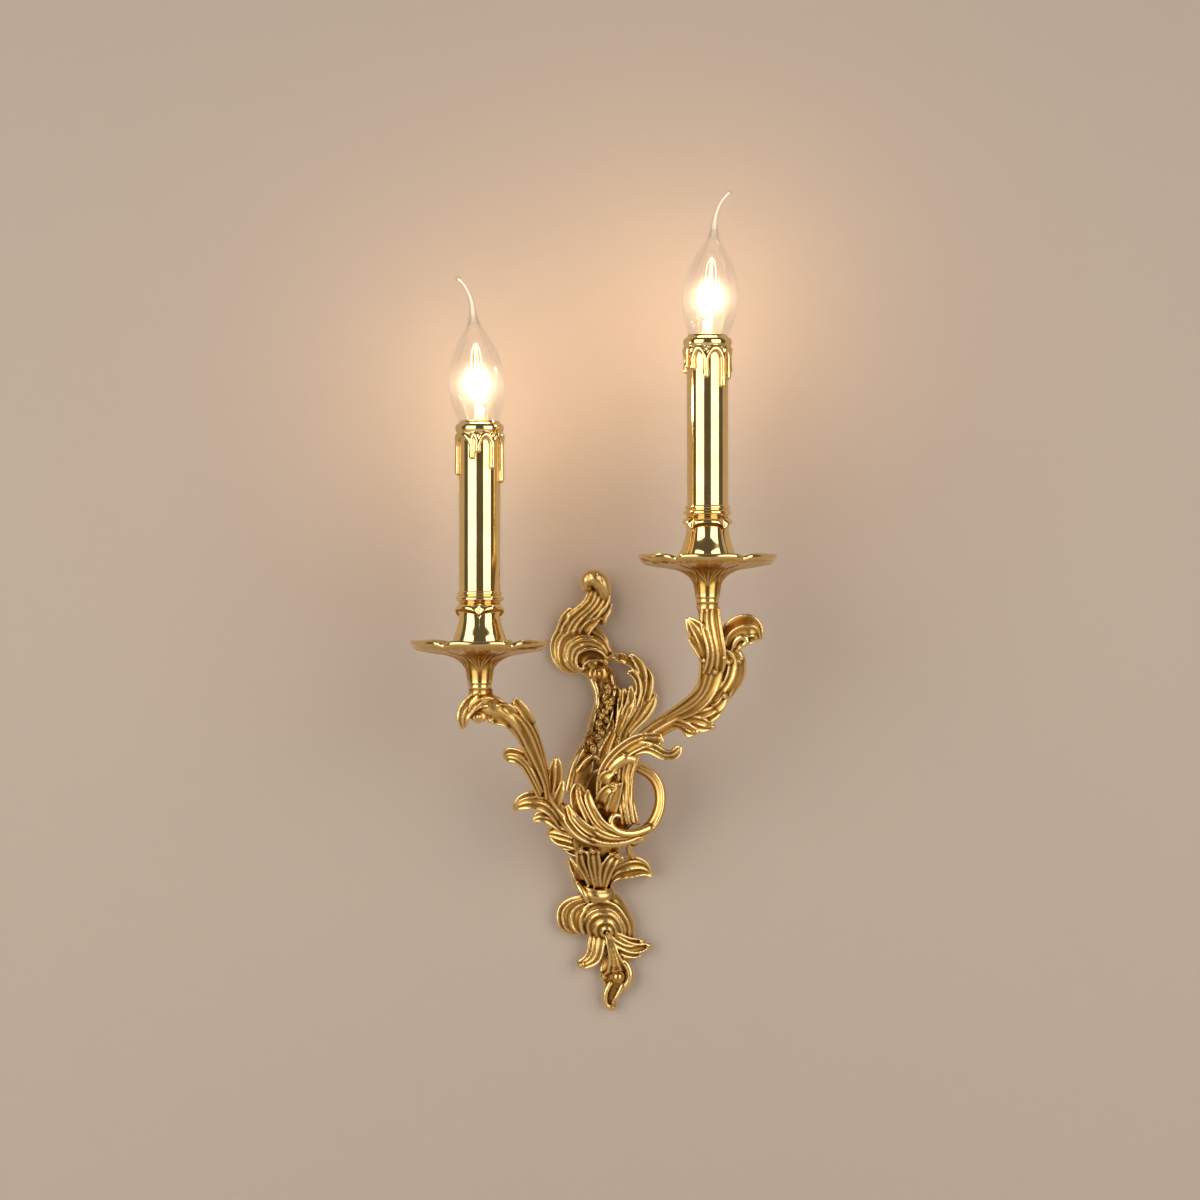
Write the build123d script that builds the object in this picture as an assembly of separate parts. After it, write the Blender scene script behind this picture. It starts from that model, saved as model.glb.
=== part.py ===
from build123d import *
import math
import os

# Two-light candle wall sconce, in millimetres. The wall is the plane Y = 0, the room is on its
# -Y side, X runs to the right and Z up. The origin is midway between the two wall studs.
# A place on the ornament is given as (x, z, out), where out is the distance from the wall.

# Wall studs and ball nuts
stud_rise = 97.2
stud_shift = 6.7
stud_d = 4.0
stud_front_d = 3.8
stud_hole_d = 4.5
stud_into_wall = 30.0
nut_seat_out = 9.0
nut_seat_d = 9.6
nut_thread = 5.5
nut_end_gap = 0.5
nut_collar_d = 6.6
nut_collar_h = 1.6
ball_d = 8.4

# Hub of the back plate, where both arms are fixed
hub_out = 30.0
hub_floor = 8.0
hub_wall = 2.3
left_boss = (-13.0, -3.0)
right_boss = (8.0, 7.0)
hub_crown = (-3.0, 26.0)
boss_zone_d = 19.4
crown_zone_d = 20.0
boss_d = 13.0
boss_depth = 9.0

# Hollow threaded nipples that tie the arms to the hub
arm_nipple_d = 8.0
arm_nipple_bore = 5.4
arm_nipple_grip = 6.0
arm_nut_flats = 11.0
arm_nut_h = 4.0
arm_washer_d = 13.0
arm_washer_t = 1.0
nipple_past_nut = 1.0
thread_clearance = 0.05

# Wiring
lead_d = 3.6
channel_d = 4.8
lead_bend_r = 5.0
lead_largest_bend = 60.0
lead_past_nipple = 0.5
block_top_z = -13.0
block_w = 14.0
block_h = 15.0
block_t = 11.0
block_seat_out = 13.0
block_clearance = 0.5
pole_pitch = 8.0
clamp_d = 4.8
clamp_bore = 2.8
clamp_screw_d = 2.5
clamp_screw_head_d = 3.6
clamp_screw_pitch = 8.0
fixing_screw_d = 2.5
fixing_screw_head_d = 4.6
fixing_screw_grip = 5.0
screw_head_h = 2.0
screw_head_gap = 0.3
earth_screw_d = 4.0
earth_head_d = 7.6
earth_head_h = 2.6
earth_washer_d = 9.0
earth_washer_t = 1.0
earth_grip = 6.0

# Candles: place of each seat on top of its arm
candle_out = 95.0
left_candle_x = -78.8
left_seat_z = 93.1
right_candle_x = 61.3
right_seat_z = 145.9
neck_d = 14.0
neck_h = 9.0

# Drip pan and candle cup, heights above the seat
pan_stem_d = 15.4
pan_rim_d = 86.8
pan_floor_h = 22.5
pan_rim_h = 25.5
pan_lobes = 6
pan_lobe_depth = 1.7
cup_base_d = 34.4
cup_waist_d = 25.8
cup_collar_d = 29.4
cup_h = 27.1
cup_wall = 1.7
cup_floor = 2.5
collar_petals = 4
petal_depth = 1.2
left_cup_turn = 45.0
right_cup_turn = 0.0
ring_d = 27.6
ring_bead_d = 29.8
ring_h = 7.2
ring_ledge_h = 2.4
ring_ledge_w = 1.6
sleeve_d = 25.5
sleeve_wall = 0.75
sleeve_h = 107.5
sleeve_clearance = 0.05

# Wax-drip cap on top of the sleeve
cap_d = 30.2
cap_h = 15.0
cap_lip_d = 24.4
cap_lip_t = 0.5
drip_d = 3.6
drip_bead_d = 4.2
drip_proud = 0.5
drip_start = 3.0

# Threaded candle nipple, its lock nut and the lamp holder
nipple_d = 10.0
nipple_bore = 7.0
nipple_in_arm = 8.0
nipple_in_holder = 9.0
nipple_nut_flats = 14.0
nipple_nut_h = 4.0
holder_d = 22.0
holder_h = 62.0
holder_below_rim = 10.0
wiring_d = 12.0
wiring_h = 15.0
holder_web = 6.0
shell_wall = 0.45
shell_start = 3.0
shell_h = 27.0
contact_d = 8.0
contact_plate = 1.0
contact_pip_d = 4.0

# Lamp: small screw cap and a bent-tip flame bulb
cap_thread_d = 13.9
screw_clearance = 0.08
contact_gap = 0.3
tip_contact_d = 5.0
tip_contact_h = 2.0
insulator_h = 3.0
thread_h = 18.2
skirt_d = 16.6
skirt_h = 2.0
glass_inset = 0.4
bulb_d = 34.6
bulb_rim_d = 23.4
bulb_h = 88.6
bulb_wall = 0.8
bulb_tip_bend = 12.0
stem_d = 6.0
stem_h = 18.0
filament_d = 1.8
filament_spread = 13.0
filament_low = 15.0
filament_high = 38.0
filament_crown_r = 1.5
support_d = 0.8
flare_h = 1.2
flare_clearance = 0.2

# Side of the blocks that trim a shape at a plane, larger than the whole sconce
trim_block = 800.0

os.makedirs("parts", exist_ok=True)
front = Plane(origin=(0, 0, 0), x_dir=(1, 0, 0), z_dir=(0, -1, 0))


def at(x, z, out):
    """A point of the ornament as a model vector."""
    return Vector(x, -out, z)


def facing(x, z, out, shape):
    """A shape made about its own Z axis, turned to point out of the wall."""
    return front * (Pos(x, z, out) * shape)


def rod(d, h):
    """A round bar standing on the local XY plane."""
    return Cylinder(d / 2, h, align=(Align.CENTER, Align.CENTER, Align.MIN))


def tube(d, bore, h):
    return rod(d, h) - rod(bore, h)


def hex_nut(flats, bore, h):
    blank = extrude(RegularPolygon(flats / 2, 6, major_radius=False), h)
    return blank - rod(bore, h)


def turned(*edges):
    """A body turned about Z from a closed half profile of edges in the XZ plane."""
    return revolve(make_face(Curve() + list(edges)), Axis.Z)


def line(*points):
    return Polyline(*[(r, 0, h) for r, h in points])


def curve(*points):
    return Spline(*[(r, 0, h) for r, h in points])


def leaf(points, halves, thicks):
    """A leaf or stem lofted through ellipses along a smooth spine of (x, z, out) places."""
    knots = [at(*p) for p in points]
    spine = Spline(*knots)
    sections = []
    for knot, half, thick in zip(knots, halves, thicks):
        where = spine.param_at_point(knot)
        across = Plane(origin=knot, x_dir=(0, -1, 0), z_dir=spine.tangent_at(where))
        sections.append(across * Ellipse(thick, half))
    return loft(sections)


def relief(points, halves, heights):
    """A leaf lying on the wall plane; its buried half is cut off later."""
    return leaf([(x, z, 0) for x, z in points], halves, heights)


def dome(x, z, half_x, half_z, height):
    """Half-buried round boss of the shell work."""
    return front * (Pos(x, z, 0) * scale(Sphere(1), by=(half_x, half_z, height)))


def follow(path, d):
    """A round bar swept along a path."""
    return sweep(Plane(origin=path @ 0, z_dir=path % 0) * Circle(d / 2), path=path)


def save(node, *shapes):
    """Write the solids of one node to its own file."""
    solids = []
    for shape in shapes:
        solids += shape.solids()
    for solid in solids:
        solid.label = node
    export_step(solids[0] if len(solids) == 1 else Compound(children=solids), f"parts/{node}.step")


# Heights of the candle stack above its seat
nipple_hole = nipple_d + 2 * thread_clearance
cup_foot = pan_floor_h
ring_foot = cup_foot + cup_h
sleeve_foot = ring_foot + ring_ledge_h
rim = sleeve_foot + sleeve_h
holder_top = rim - holder_below_rim
holder_foot = holder_top - holder_h
socket_floor = wiring_h + nipple_in_holder + holder_web
lead_top = holder_foot + socket_floor

# Routes of the leads, as (x, z, out) places. Both start at the terminal block, rise into the
# hollow nipple of their arm and end on the candle axis.
block_x = left_boss[0] + pole_pitch / 2
block_z = block_top_z - block_h / 2
block_back = block_seat_out - block_t
clamp_out = block_back + block_t / 2
nipple_front = hub_out + arm_nipple_grip
turn_out = nipple_front + lead_bend_r + lead_past_nipple
left_bore_route = [
    (left_boss[0], left_boss[1], turn_out),
    (-26, 6, 44.5),
    (-34, 16, 50),
    (-40, 28, 58),
    (-44.5, 42, 68),
    (-50, 57, 79),
    (left_candle_x + 20, left_seat_z - 22, candle_out - 5.5),
    (left_candle_x + 9.5, left_seat_z - 16, candle_out - 1),
    (left_candle_x, left_seat_z - 14.5, candle_out),
]
right_bore_route = [
    (right_boss[0], right_boss[1], turn_out),
    (12, 20, 42.5),
    (12.5, 34, 44),
    (15, 46, 47.5),
    (24, 58, 54),
    (36, 66.5, 62),
    (49, 75, 71),
    (right_candle_x - 1, right_seat_z - 58, candle_out - 13),
    (right_candle_x + 4.5, right_seat_z - 43, candle_out - 5),
    (right_candle_x + 4, right_seat_z - 29, candle_out - 1),
    (right_candle_x, right_seat_z - 16, candle_out),
]
left_tail = [
    (block_x - pole_pitch / 2, block_top_z, clamp_out),
    (left_boss[0], left_boss[1], clamp_out),
]
right_tail = [
    (block_x + pole_pitch / 2, block_top_z, clamp_out),
    (block_x + pole_pitch / 2, left_boss[1], clamp_out),
    (right_boss[0], right_boss[1], clamp_out),
]


def bend_radii(points):
    """Bend radii, one for each corner, as large as the neighbouring runs allow."""
    radii = []
    for before, here, after in zip(points, points[1:], points[2:]):
        one = here - before
        two = after - here
        half_turn = math.radians(one.get_angle(two)) / 2
        largest = 0.45 * min(one.length, two.length) / math.tan(half_turn)
        radii.append(min(largest, lead_largest_bend))
    return radii


def route(places):
    points = [at(*p) for p in places]
    return FilletPolyline(*points, radius=bend_radii(points))


# Back plate: reliefs on the wall plane, the hub, and the pockets cut from behind
upper_stud = (-stud_shift, stud_rise)
lower_stud = (stud_shift, -stud_rise)


def back_plate():
    reliefs = [
        dome(-19, 117, 17, 20, 17),
        dome(-8, 106, 12, 11, 14),
        relief(
            [(-16, 128), (-9, 138), (-4, 148), (-4.2, 156), (-9, 160.5)],
            [12, 8, 6, 5.4, 4.6],
            [14, 12, 12, 12, 10],
        ),
        dome(-11.5, 158.5, 6, 6, 9),
        relief(
            [(-6, 99), (-2.5, 88), (-2.5, 74), (-6, 61), (-11, 48), (-17, 36), (-21, 24), (-20, 10)],
            [6.5, 6.3, 6.3, 6.2, 6, 5.4, 5, 5],
            [13, 13, 13, 13, 13, 13, 13, 13],
        ),
        relief(
            [(6, 62), (14, 71), (20.5, 82), (21.5, 93), (16, 102.5), (9, 107), (4.5, 106.5)],
            [5, 6.5, 7.5, 6.5, 5, 3.8, 3],
            [13, 14, 15, 15, 13, 11, 9],
        ),
        relief([(-4, -4), (-6, -16), (-8.5, -29), (-9, -43)], [17, 14, 12, 11.5], [28, 25, 22, 20]),
        relief(
            [(-4, -41), (3, -32), (11, -27), (19, -25.5), (25.5, -30)],
            [4, 4.5, 4.8, 4.4, 2],
            [14, 15, 15, 14, 9],
        ),
        relief([(-10, -14), (-20, -11), (-29, -7), (-36.5, -4)], [6, 5.5, 4.5, 2], [18, 18, 16, 11]),
        relief([(-12, -40), (-17, -32), (-20, -27), (-23.5, -23)], [4, 3.4, 2.6, 1.4], [14, 14, 12, 9]),
        dome(-9, -57, 22, 14.5, 22),
        dome(6, -64, 10.5, 12.5, 18),
        relief([(-5, -66), (-8, -78), (-12, -86.5), (-18, -90)], [6, 5.2, 3.6, 1.6], [15, 13, 10, 7]),
        relief([(2, -68), (8, -77), (16, -80.5), (25.5, -78)], [6, 5, 4.6, 2], [15, 14, 12, 8]),
        relief(
            [(2, -70), (4, -84), (7.5, -96), (5.5, -106), (2, -113), (2.4, -119)],
            [6, 6, 7, 5.4, 3.6, 2.4],
            [14, 12, 11.5, 10, 9, 7],
        ),
    ]
    zone = make_hull(
        (Pos(*left_boss) * Circle(boss_zone_d / 2)).edges()
        + (Pos(*right_boss) * Circle(boss_zone_d / 2)).edges()
        + (Pos(*hub_crown) * Circle(crown_zone_d / 2)).edges()
    )
    plate = front * extrude(zone, hub_out)
    for shape in reliefs:
        plate += shape
    plate -= Pos(0, trim_block / 2, 0) * Box(trim_block, trim_block, trim_block)
    pocket_out = hub_out - hub_floor
    plate -= front * extrude(offset(zone, -hub_wall), pocket_out)
    room_w = block_w + 2 * block_clearance
    room_h = block_h + block_clearance + left_boss[1] - block_top_z
    room = Box(room_w, room_h, block_seat_out, align=(Align.CENTER, Align.MIN, Align.MIN))
    plate -= facing(block_x, block_top_z - block_h - block_clearance, 0, room)
    for x, z in (left_boss, right_boss):
        plate -= facing(x, z, 0, rod(arm_nipple_d + 2 * thread_clearance, hub_out))
    for x, z in (upper_stud, lower_stud):
        plate -= facing(x, z, 0, rod(stud_hole_d, nut_seat_out))
        plate -= facing(x, z, nut_seat_out, rod(nut_seat_d, hub_out))
    fixing_bore = rod(fixing_screw_d + 2 * thread_clearance, fixing_screw_grip + thread_clearance)
    plate -= facing(block_x, block_z, block_seat_out, fixing_bore)
    earth_bore = rod(earth_screw_d + 2 * thread_clearance, earth_grip + thread_clearance)
    plate -= facing(*hub_crown, pocket_out, earth_bore)
    return plate


# Arms: a lofted stem with leaves, a boss on the hub and a neck under the candle
def arm(stem, leaves, extras, boss, bore_route, candle_x, seat_z):
    body = leaf(*stem)
    for shape in leaves:
        body += leaf(*shape)
    for shape in extras:
        body += shape
    body += facing(*boss, hub_out, rod(boss_d, boss_depth))
    neck_r = neck_d / 2
    bead = neck_h / 4
    neck = turned(
        line((0, 0), (neck_r - 0.8, 0)),
        ThreePointArc((neck_r - 0.8, 0, 0), (neck_r, 0, -bead), (neck_r - 0.8, 0, -2 * bead)),
        ThreePointArc(
            (neck_r - 0.8, 0, -2 * bead), (neck_r, 0, -3 * bead), (neck_r - 0.8, 0, -4 * bead)
        ),
        line((neck_r - 0.8, -4 * bead), (neck_r - 1.2, -2 * neck_h), (0, -2 * neck_h), (0, 0)),
    )
    top = Pos(candle_x, -candle_out, seat_z)
    body += top * neck
    body += top * (Pos(0, 0, -2 * neck_h) * Sphere(neck_r - 1.2))
    body -= facing(*boss, 0, Box(trim_block, trim_block, 2 * hub_out))
    bore = route([(*boss, clamp_out)] + bore_route + [(candle_x, seat_z + lead_top, candle_out)])
    body -= follow(bore, channel_d)
    body -= facing(*boss, hub_out, rod(arm_nipple_d + 2 * thread_clearance, arm_nipple_grip))
    body -= top * (Pos(0, 0, -nipple_in_arm) * rod(nipple_d + 2 * thread_clearance, nipple_in_arm))
    return body


left_end = (left_candle_x, left_seat_z, candle_out)
right_end = (right_candle_x, right_seat_z, candle_out)


def off(end, x, z, out):
    """A place given from the top of an arm."""
    return (end[0] + x, end[1] + z, end[2] + out)


left_stem = (
    [(17, -5, 37), (8, -7, 38), (-3, -6.5, 39), (-14, -2.5, 40), (-25, 5.5, 44), (-33.5, 15.5, 50),
     (-39.5, 28, 58), (-44.5, 42, 68), (-50, 57, 79), off(left_end, 19.5, -22.5, -5.5),
     off(left_end, 9, -17, -1), off(left_end, -1, -16, 0)],
    [4.2, 5, 6, 6.6, 6.6, 6, 5.6, 5.6, 6, 6.6, 6.4, 5.6],
    [4.2, 5, 6, 6.6, 6.6, 6, 5.6, 5.6, 6, 6.6, 6.4, 5.6],
)
left_leaves = [
    ([(12, -4, 44), (1, -3, 46.5), (-8, 2.5, 47.5), (-14, 11, 48), (-17, 20, 47.5), (-19, 28, 46)],
     [3.5, 5.2, 5.6, 5, 3.8, 1.8], [4, 4, 4, 3.6, 3, 1.6]),
    ([(-13, -3.5, 46), (-20, 2, 48), (-25, 9, 49), (-27.5, 16.5, 49)],
     [3, 3.2, 2.8, 1.2], [3.4, 3.2, 2.6, 1.2]),
    ([(-40, 27, 60), (-46, 38, 66), (-51, 44.5, 68), (-57, 48, 68), (-63, 47.5, 66)],
     [3.6, 4, 3.8, 3.2, 1.6], [3.4, 3, 2.8, 2.4, 1.4]),
    ([(-32, 8, 50), (-38, 15.5, 54), (-44.5, 19.6, 56), (-51, 19.5, 56), (-57, 15, 54)],
     [4, 4.2, 4, 3.4, 1.6], [3.6, 3.2, 2.8, 2.4, 1.4]),
    ([(-30, 2, 46), (-37, 7.5, 50), (-41.5, 9.4, 51.5), (-45.5, 7, 51)],
     [2.6, 2.6, 2.2, 1.2], [2.6, 2.4, 2, 1.2]),
    ([(-35.5, 18, 52), (-34.5, 28, 56), (-33, 36, 59), (-32, 44, 60)],
     [2.8, 3.6, 3.2, 1.4], [2.6, 2.8, 2.4, 1.4]),
    ([off(left_end, 1, -13, 2), off(left_end, -6, -12, 3), off(left_end, -11, -17, 3),
      off(left_end, -11.5, -26, 2)],
     [4, 3.6, 3.2, 1.4], [4, 3.2, 2.6, 1.4]),
    ([off(left_end, 17, -14, -2), off(left_end, 8, -9.5, 2), off(left_end, 1, -9, 3)],
     [3.4, 3, 2.4], [3.4, 3, 2.4]),
]
ring_loop = ThreePointArc(at(19, 38.5, 36), at(33.6, 17, 36), at(17, -5, 37))
ring_loop_d = 7.8

right_stem = (
    [(9.5, 4, 38), (12, 18, 42), (12.5, 32, 44), (14.5, 45, 47), (23, 57, 53.5), (36, 66.5, 62),
     (49, 75, 71), off(right_end, -1.5, -58, -13), off(right_end, 4.2, -44, -5.5),
     off(right_end, 4.2, -29, -1), off(right_end, 1, -15, 0)],
    [5, 5, 5, 5, 5.6, 6, 6.2, 6.6, 6.6, 6, 5.6],
    [5, 5, 5, 5, 5.6, 6, 6.2, 6.6, 6.6, 6, 5.6],
)
right_leaves = [
    ([(-4, 15, 47), (-4, 28, 52), (-0.5, 39.5, 55), (7, 48.5, 57), (17, 54, 58), (26.5, 54, 60),
      (34, 50, 61.5), (40, 48.5, 62), (44.5, 51, 61.5)],
     [2.4, 3.4, 4.8, 5.6, 5.6, 5, 4, 3, 1.6], [2, 2.6, 3.4, 4.2, 4.6, 4, 3, 2.4, 1.4]),
    ([(18, 56, 60), (26, 59.5, 62.5), (33.5, 57.5, 63)], [3, 2.6, 1.4], [3, 2.4, 1.4]),
    ([(34, 65.5, 65), (45, 66.5, 71), (55, 66, 76), (64, 68.5, 80), (71, 76, 83)],
     [4, 5, 5.4, 5, 2], [3.6, 3.6, 3.4, 3, 1.6]),
    ([off(right_end, 1, -61, -12), off(right_end, 12, -57, -7), off(right_end, 19.5, -48, -3),
      off(right_end, 20.5, -38, -2), off(right_end, 16, -32, -1)],
     [5, 6, 5, 3.8, 2], [4.4, 4, 3.4, 3, 1.8]),
    ([off(right_end, 6, -38, 1), off(right_end, 10, -25, 2), off(right_end, 16, -17.5, 3),
      off(right_end, 24, -14.5, 3), off(right_end, 30, -18, 3), off(right_end, 32.5, -25, 2)],
     [4, 4.6, 4.6, 4.2, 3.2, 1.4], [4, 3.6, 3, 2.6, 2.2, 1.4]),
    ([off(right_end, 5, -42, 2), off(right_end, 0, -30, 4), off(right_end, -5.5, -21, 4.5),
      off(right_end, -11, -15, 4)],
     [4, 4.4, 3.6, 1.4], [4, 3.4, 2.6, 1.4]),
]


# Drip pan: a turned dish on a stem, its rim cut to shallow lobes
def lobed(d, lobes, depth, h):
    """A prism whose outline is a round of outward arcs between shallow notches."""
    outer = d / 2
    notch = outer - depth
    arcs = []
    for i in range(lobes):
        first = 2 * math.pi * (i - 0.5) / lobes
        middle = first + math.pi / lobes
        last = first + 2 * math.pi / lobes
        arcs.append(
            ThreePointArc(
                (notch * math.cos(first), notch * math.sin(first)),
                (outer * math.cos(middle), outer * math.sin(middle)),
                (notch * math.cos(last), notch * math.sin(last)),
            )
        )
    return extrude(make_face(Curve() + arcs), h)


def drip_pan():
    stem_r = pan_stem_d / 2
    rim_r = pan_rim_d / 2
    seat_r = cup_base_d / 2
    hole_r = nipple_hole / 2
    rim_edge = pan_rim_h - 1
    dish = turned(
        curve(
            (stem_r, 0), (stem_r + 0.8, pan_floor_h - 15.6), (stem_r + 1.9, pan_floor_h - 10.6),
            (stem_r + 6.1, pan_floor_h - 7.5), (seat_r + 2.3, pan_floor_h - 4.9),
            (rim_r - 14.3, pan_floor_h - 3.7), (rim_r - 5.8, rim_edge - 3.2), (rim_r, rim_edge),
        ),
        line((rim_r, rim_edge), (rim_r - 0.6, pan_rim_h)),
        curve(
            (rim_r - 0.6, pan_rim_h), (rim_r - 6, pan_rim_h - 2), (rim_r - 14, pan_floor_h - 1.2),
            (seat_r + 4, pan_floor_h - 0.6), (seat_r + 1, pan_floor_h),
        ),
        line((seat_r + 1, pan_floor_h), (hole_r, pan_floor_h), (hole_r, 0), (stem_r, 0)),
    )
    lobes = lobed(pan_rim_d, pan_lobes, pan_lobe_depth, pan_rim_h)
    return dish & (Rot(0, 0, 180 / pan_lobes) * lobes)


# Candle cup: a turned bell with a petal collar, open inside over its floor
def candle_cup():
    base_r = cup_base_d / 2
    waist_r = cup_waist_d / 2
    collar_r = cup_collar_d / 2
    hole_r = nipple_hole / 2
    bell = turned(
        curve(
            (base_r, 0), (base_r - 0.4, 0.12 * cup_h), (base_r - 1.8, 0.31 * cup_h),
            (waist_r + 0.7, 0.54 * cup_h), (waist_r, 0.72 * cup_h), (collar_r - 0.8, 0.83 * cup_h),
            (collar_r, 0.9 * cup_h), (collar_r - 1.2, cup_h),
        ),
        line((collar_r - 1.2, cup_h), (waist_r - cup_wall, cup_h), (waist_r - cup_wall, 0.6 * cup_h)),
        curve(
            (waist_r - cup_wall, 0.6 * cup_h), (base_r - 2 - cup_wall, 0.3 * cup_h),
            (base_r - 0.8 - cup_wall, cup_floor),
        ),
        line((base_r - 0.8 - cup_wall, cup_floor), (hole_r, cup_floor), (hole_r, 0), (base_r, 0)),
    )
    petals = Pos(0, 0, 0.8 * cup_h) * lobed(cup_collar_d, collar_petals, petal_depth, cup_h)
    below = rod(2 * cup_base_d, 0.8 * cup_h)
    return bell & (petals + below)


# Candle ring: a beaded ring on the cup, with a ledge on which the sleeve stands
def candle_ring():
    ring_r = ring_d / 2
    bead_r = ring_bead_d / 2
    ledge_r = sleeve_d / 2 - ring_ledge_w
    socket_r = sleeve_d / 2 + sleeve_clearance
    bead_low = 0.22 * ring_h
    bead_high = 0.72 * ring_h
    return turned(
        line((ledge_r, 0), (ring_r, 0), (ring_r, bead_low)),
        ThreePointArc(
            (ring_r, 0, bead_low), (bead_r, 0, (bead_low + bead_high) / 2), (ring_r, 0, bead_high)
        ),
        line(
            (ring_r, bead_high), (ring_r, ring_h), (socket_r, ring_h), (socket_r, ring_ledge_h),
            (ledge_r, ring_ledge_h), (ledge_r, 0),
        ),
    )


# Drip cap: a rounded collar over the top of the sleeve, with runs of wax down its outside.
# Each run is (angle from the front in degrees, length below the rim).
left_drips = [(-80, 31), (-14, 20), (32, 28), (75, 35), (126, 22), (178, 30), (228, 19)]
right_drips = [(-64, 19), (-9, 24), (43, 30), (98, 24), (150, 18), (203, 31), (252, 22)]


def drip_cap(drips):
    outer_r = cap_d / 2
    bore_r = sleeve_d / 2 + sleeve_clearance
    lip_r = cap_lip_d / 2
    body = turned(
        curve(
            (bore_r, -cap_h), (outer_r - 1.2, 2 - cap_h), (outer_r - 0.2, 5.5 - cap_h),
            (outer_r, 0.4 * -cap_h), (outer_r - 0.3, -1.2), (outer_r - 1.2, cap_lip_t),
        ),
        line((outer_r - 1.2, cap_lip_t), (lip_r, cap_lip_t), (lip_r, 0), (bore_r, 0), (bore_r, -cap_h)),
    )
    run_r = bore_r + drip_proud
    for angle, length in drips:
        end = length - drip_bead_d / 2
        run = rod(drip_d, end - drip_start) + Sphere(drip_bead_d / 2)
        place = Rot(0, 0, angle - 90) * Pos(run_r, 0, -end)
        body += place * run
    return body - Pos(0, 0, -sleeve_h) * rod(2 * bore_r, sleeve_h)


# Lamp holder: insulating body on the nipple, threaded shell and centre contact
shell_bore = cap_thread_d + 2 * screw_clearance
shell_d = shell_bore + 2 * shell_wall


def holder_body():
    body = rod(holder_d, holder_h) - rod(nipple_hole, nipple_in_holder)
    body -= Pos(0, 0, nipple_in_holder) * rod(wiring_d, wiring_h)
    body -= Pos(0, 0, nipple_in_holder) * rod(lead_d + 2 * thread_clearance, holder_h)
    return body - Pos(0, 0, socket_floor) * rod(shell_d, holder_h)


def holder_contact():
    pip_h = tip_foot - contact_gap - holder_foot - socket_floor - contact_plate
    pip = rod(contact_pip_d, pip_h - contact_pip_d / 2)
    pip += Pos(0, 0, pip_h - contact_pip_d / 2) * Sphere(contact_pip_d / 2)
    return rod(contact_d, contact_plate) + Pos(0, 0, contact_plate) * pip


# Lamp, built upward from the skirt that rests just above the holder
skirt_foot = holder_top + contact_gap
thread_foot = skirt_foot - thread_h
tip_foot = thread_foot - insulator_h - tip_contact_h / 2
glass_foot = skirt_foot + skirt_h


def bulb_cap():
    thread = Pos(0, 0, thread_foot) * rod(cap_thread_d, thread_h)
    skirt = Pos(0, 0, skirt_foot) * rod(skirt_d, skirt_h)
    hollow = cap_thread_d - 2 * shell_wall
    return thread + skirt - Pos(0, 0, thread_foot) * rod(hollow, thread_h + skirt_h)


def bulb_insulator():
    cone = Cone(
        tip_contact_d / 2 + 0.6, cap_thread_d / 2 - 0.6, insulator_h,
        align=(Align.CENTER, Align.CENTER, Align.MIN),
    )
    return Pos(0, 0, thread_foot - insulator_h) * cone


def bulb_contact():
    pip = Pos(0, 0, tip_foot) * rod(tip_contact_d, tip_contact_h / 2)
    return fillet(pip.edges().group_by(Axis.Z)[0], tip_contact_h / 5)


def bulb_glass(bend):
    """A clear flame bulb: round sections up a straight axis that leans over at the tip."""
    middle_r = bulb_d / 2
    rim_r = bulb_rim_d / 2
    shoulders = [
        (glass_foot, skirt_d / 2 - glass_inset, 0), (rim, rim_r, 0),
        (rim + 0.174 * bulb_h, 0.913 * middle_r, 0),
        (rim + 0.298 * bulb_h, middle_r, 0), (rim + 0.418 * bulb_h, 0.919 * middle_r, 0),
        (rim + 0.553 * bulb_h, 0.601 * middle_r, 0), (rim + 0.66 * bulb_h, 0.312 * middle_r, 0.05),
        (rim + 0.743 * bulb_h, 0.185 * middle_r, 0.18), (rim + 0.833 * bulb_h, 0.11 * middle_r, 0.42),
        (rim + 0.92 * bulb_h, 0.085 * middle_r, 0.72), (rim + bulb_h, 0.07 * middle_r, 1),
    ]
    spine = Spline(*[(bend * lean, 0, h) for h, r, lean in shoulders])

    def skin(inset, count):
        sections = []
        for h, r, lean in shoulders[:count]:
            knot = Vector(bend * lean, 0, h)
            along = spine.tangent_at(spine.param_at_point(knot))
            sections.append(Plane(origin=knot, x_dir=(0, -1, 0), z_dir=along) * Circle(r - inset))
        return loft(sections)

    return skin(0, len(shoulders)) - skin(bulb_wall, len(shoulders) - 3)


def bulb_stem():
    flare_d = skirt_d - 2 * glass_inset - 2 * bulb_wall - 2 * flare_clearance
    return Pos(0, 0, glass_foot) * (rod(flare_d, flare_h) + rod(stem_d, stem_h))


def bulb_wires():
    """Filaments that stand as a steep tent over the stem, and the wires that carry them."""
    foot = glass_foot + stem_h
    low = rim + filament_low
    high = rim + filament_high
    spread = filament_spread / 2
    crown = rod(4 * support_d, support_d)
    filaments = []
    supports = [Pos(0, 0, foot) * rod(support_d, high - foot) + Pos(0, 0, high) * crown]
    for i in range(4):
        angle = math.radians(45 + 90 * i)
        out_x = math.cos(angle)
        out_y = math.sin(angle)
        upper = Vector(filament_crown_r * out_x, filament_crown_r * out_y, high - support_d)
        lower = Vector(spread * out_x, spread * out_y, low)
        filaments.append(follow(Line(lower, upper), filament_d))
        root = Vector(0.3 * stem_d * out_x, 0.3 * stem_d * out_y, foot + support_d / 2)
        tip = lower - (lower - root).normalized() * support_d
        supports.append(follow(Line(root, tip), support_d))
    return filaments, supports


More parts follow.
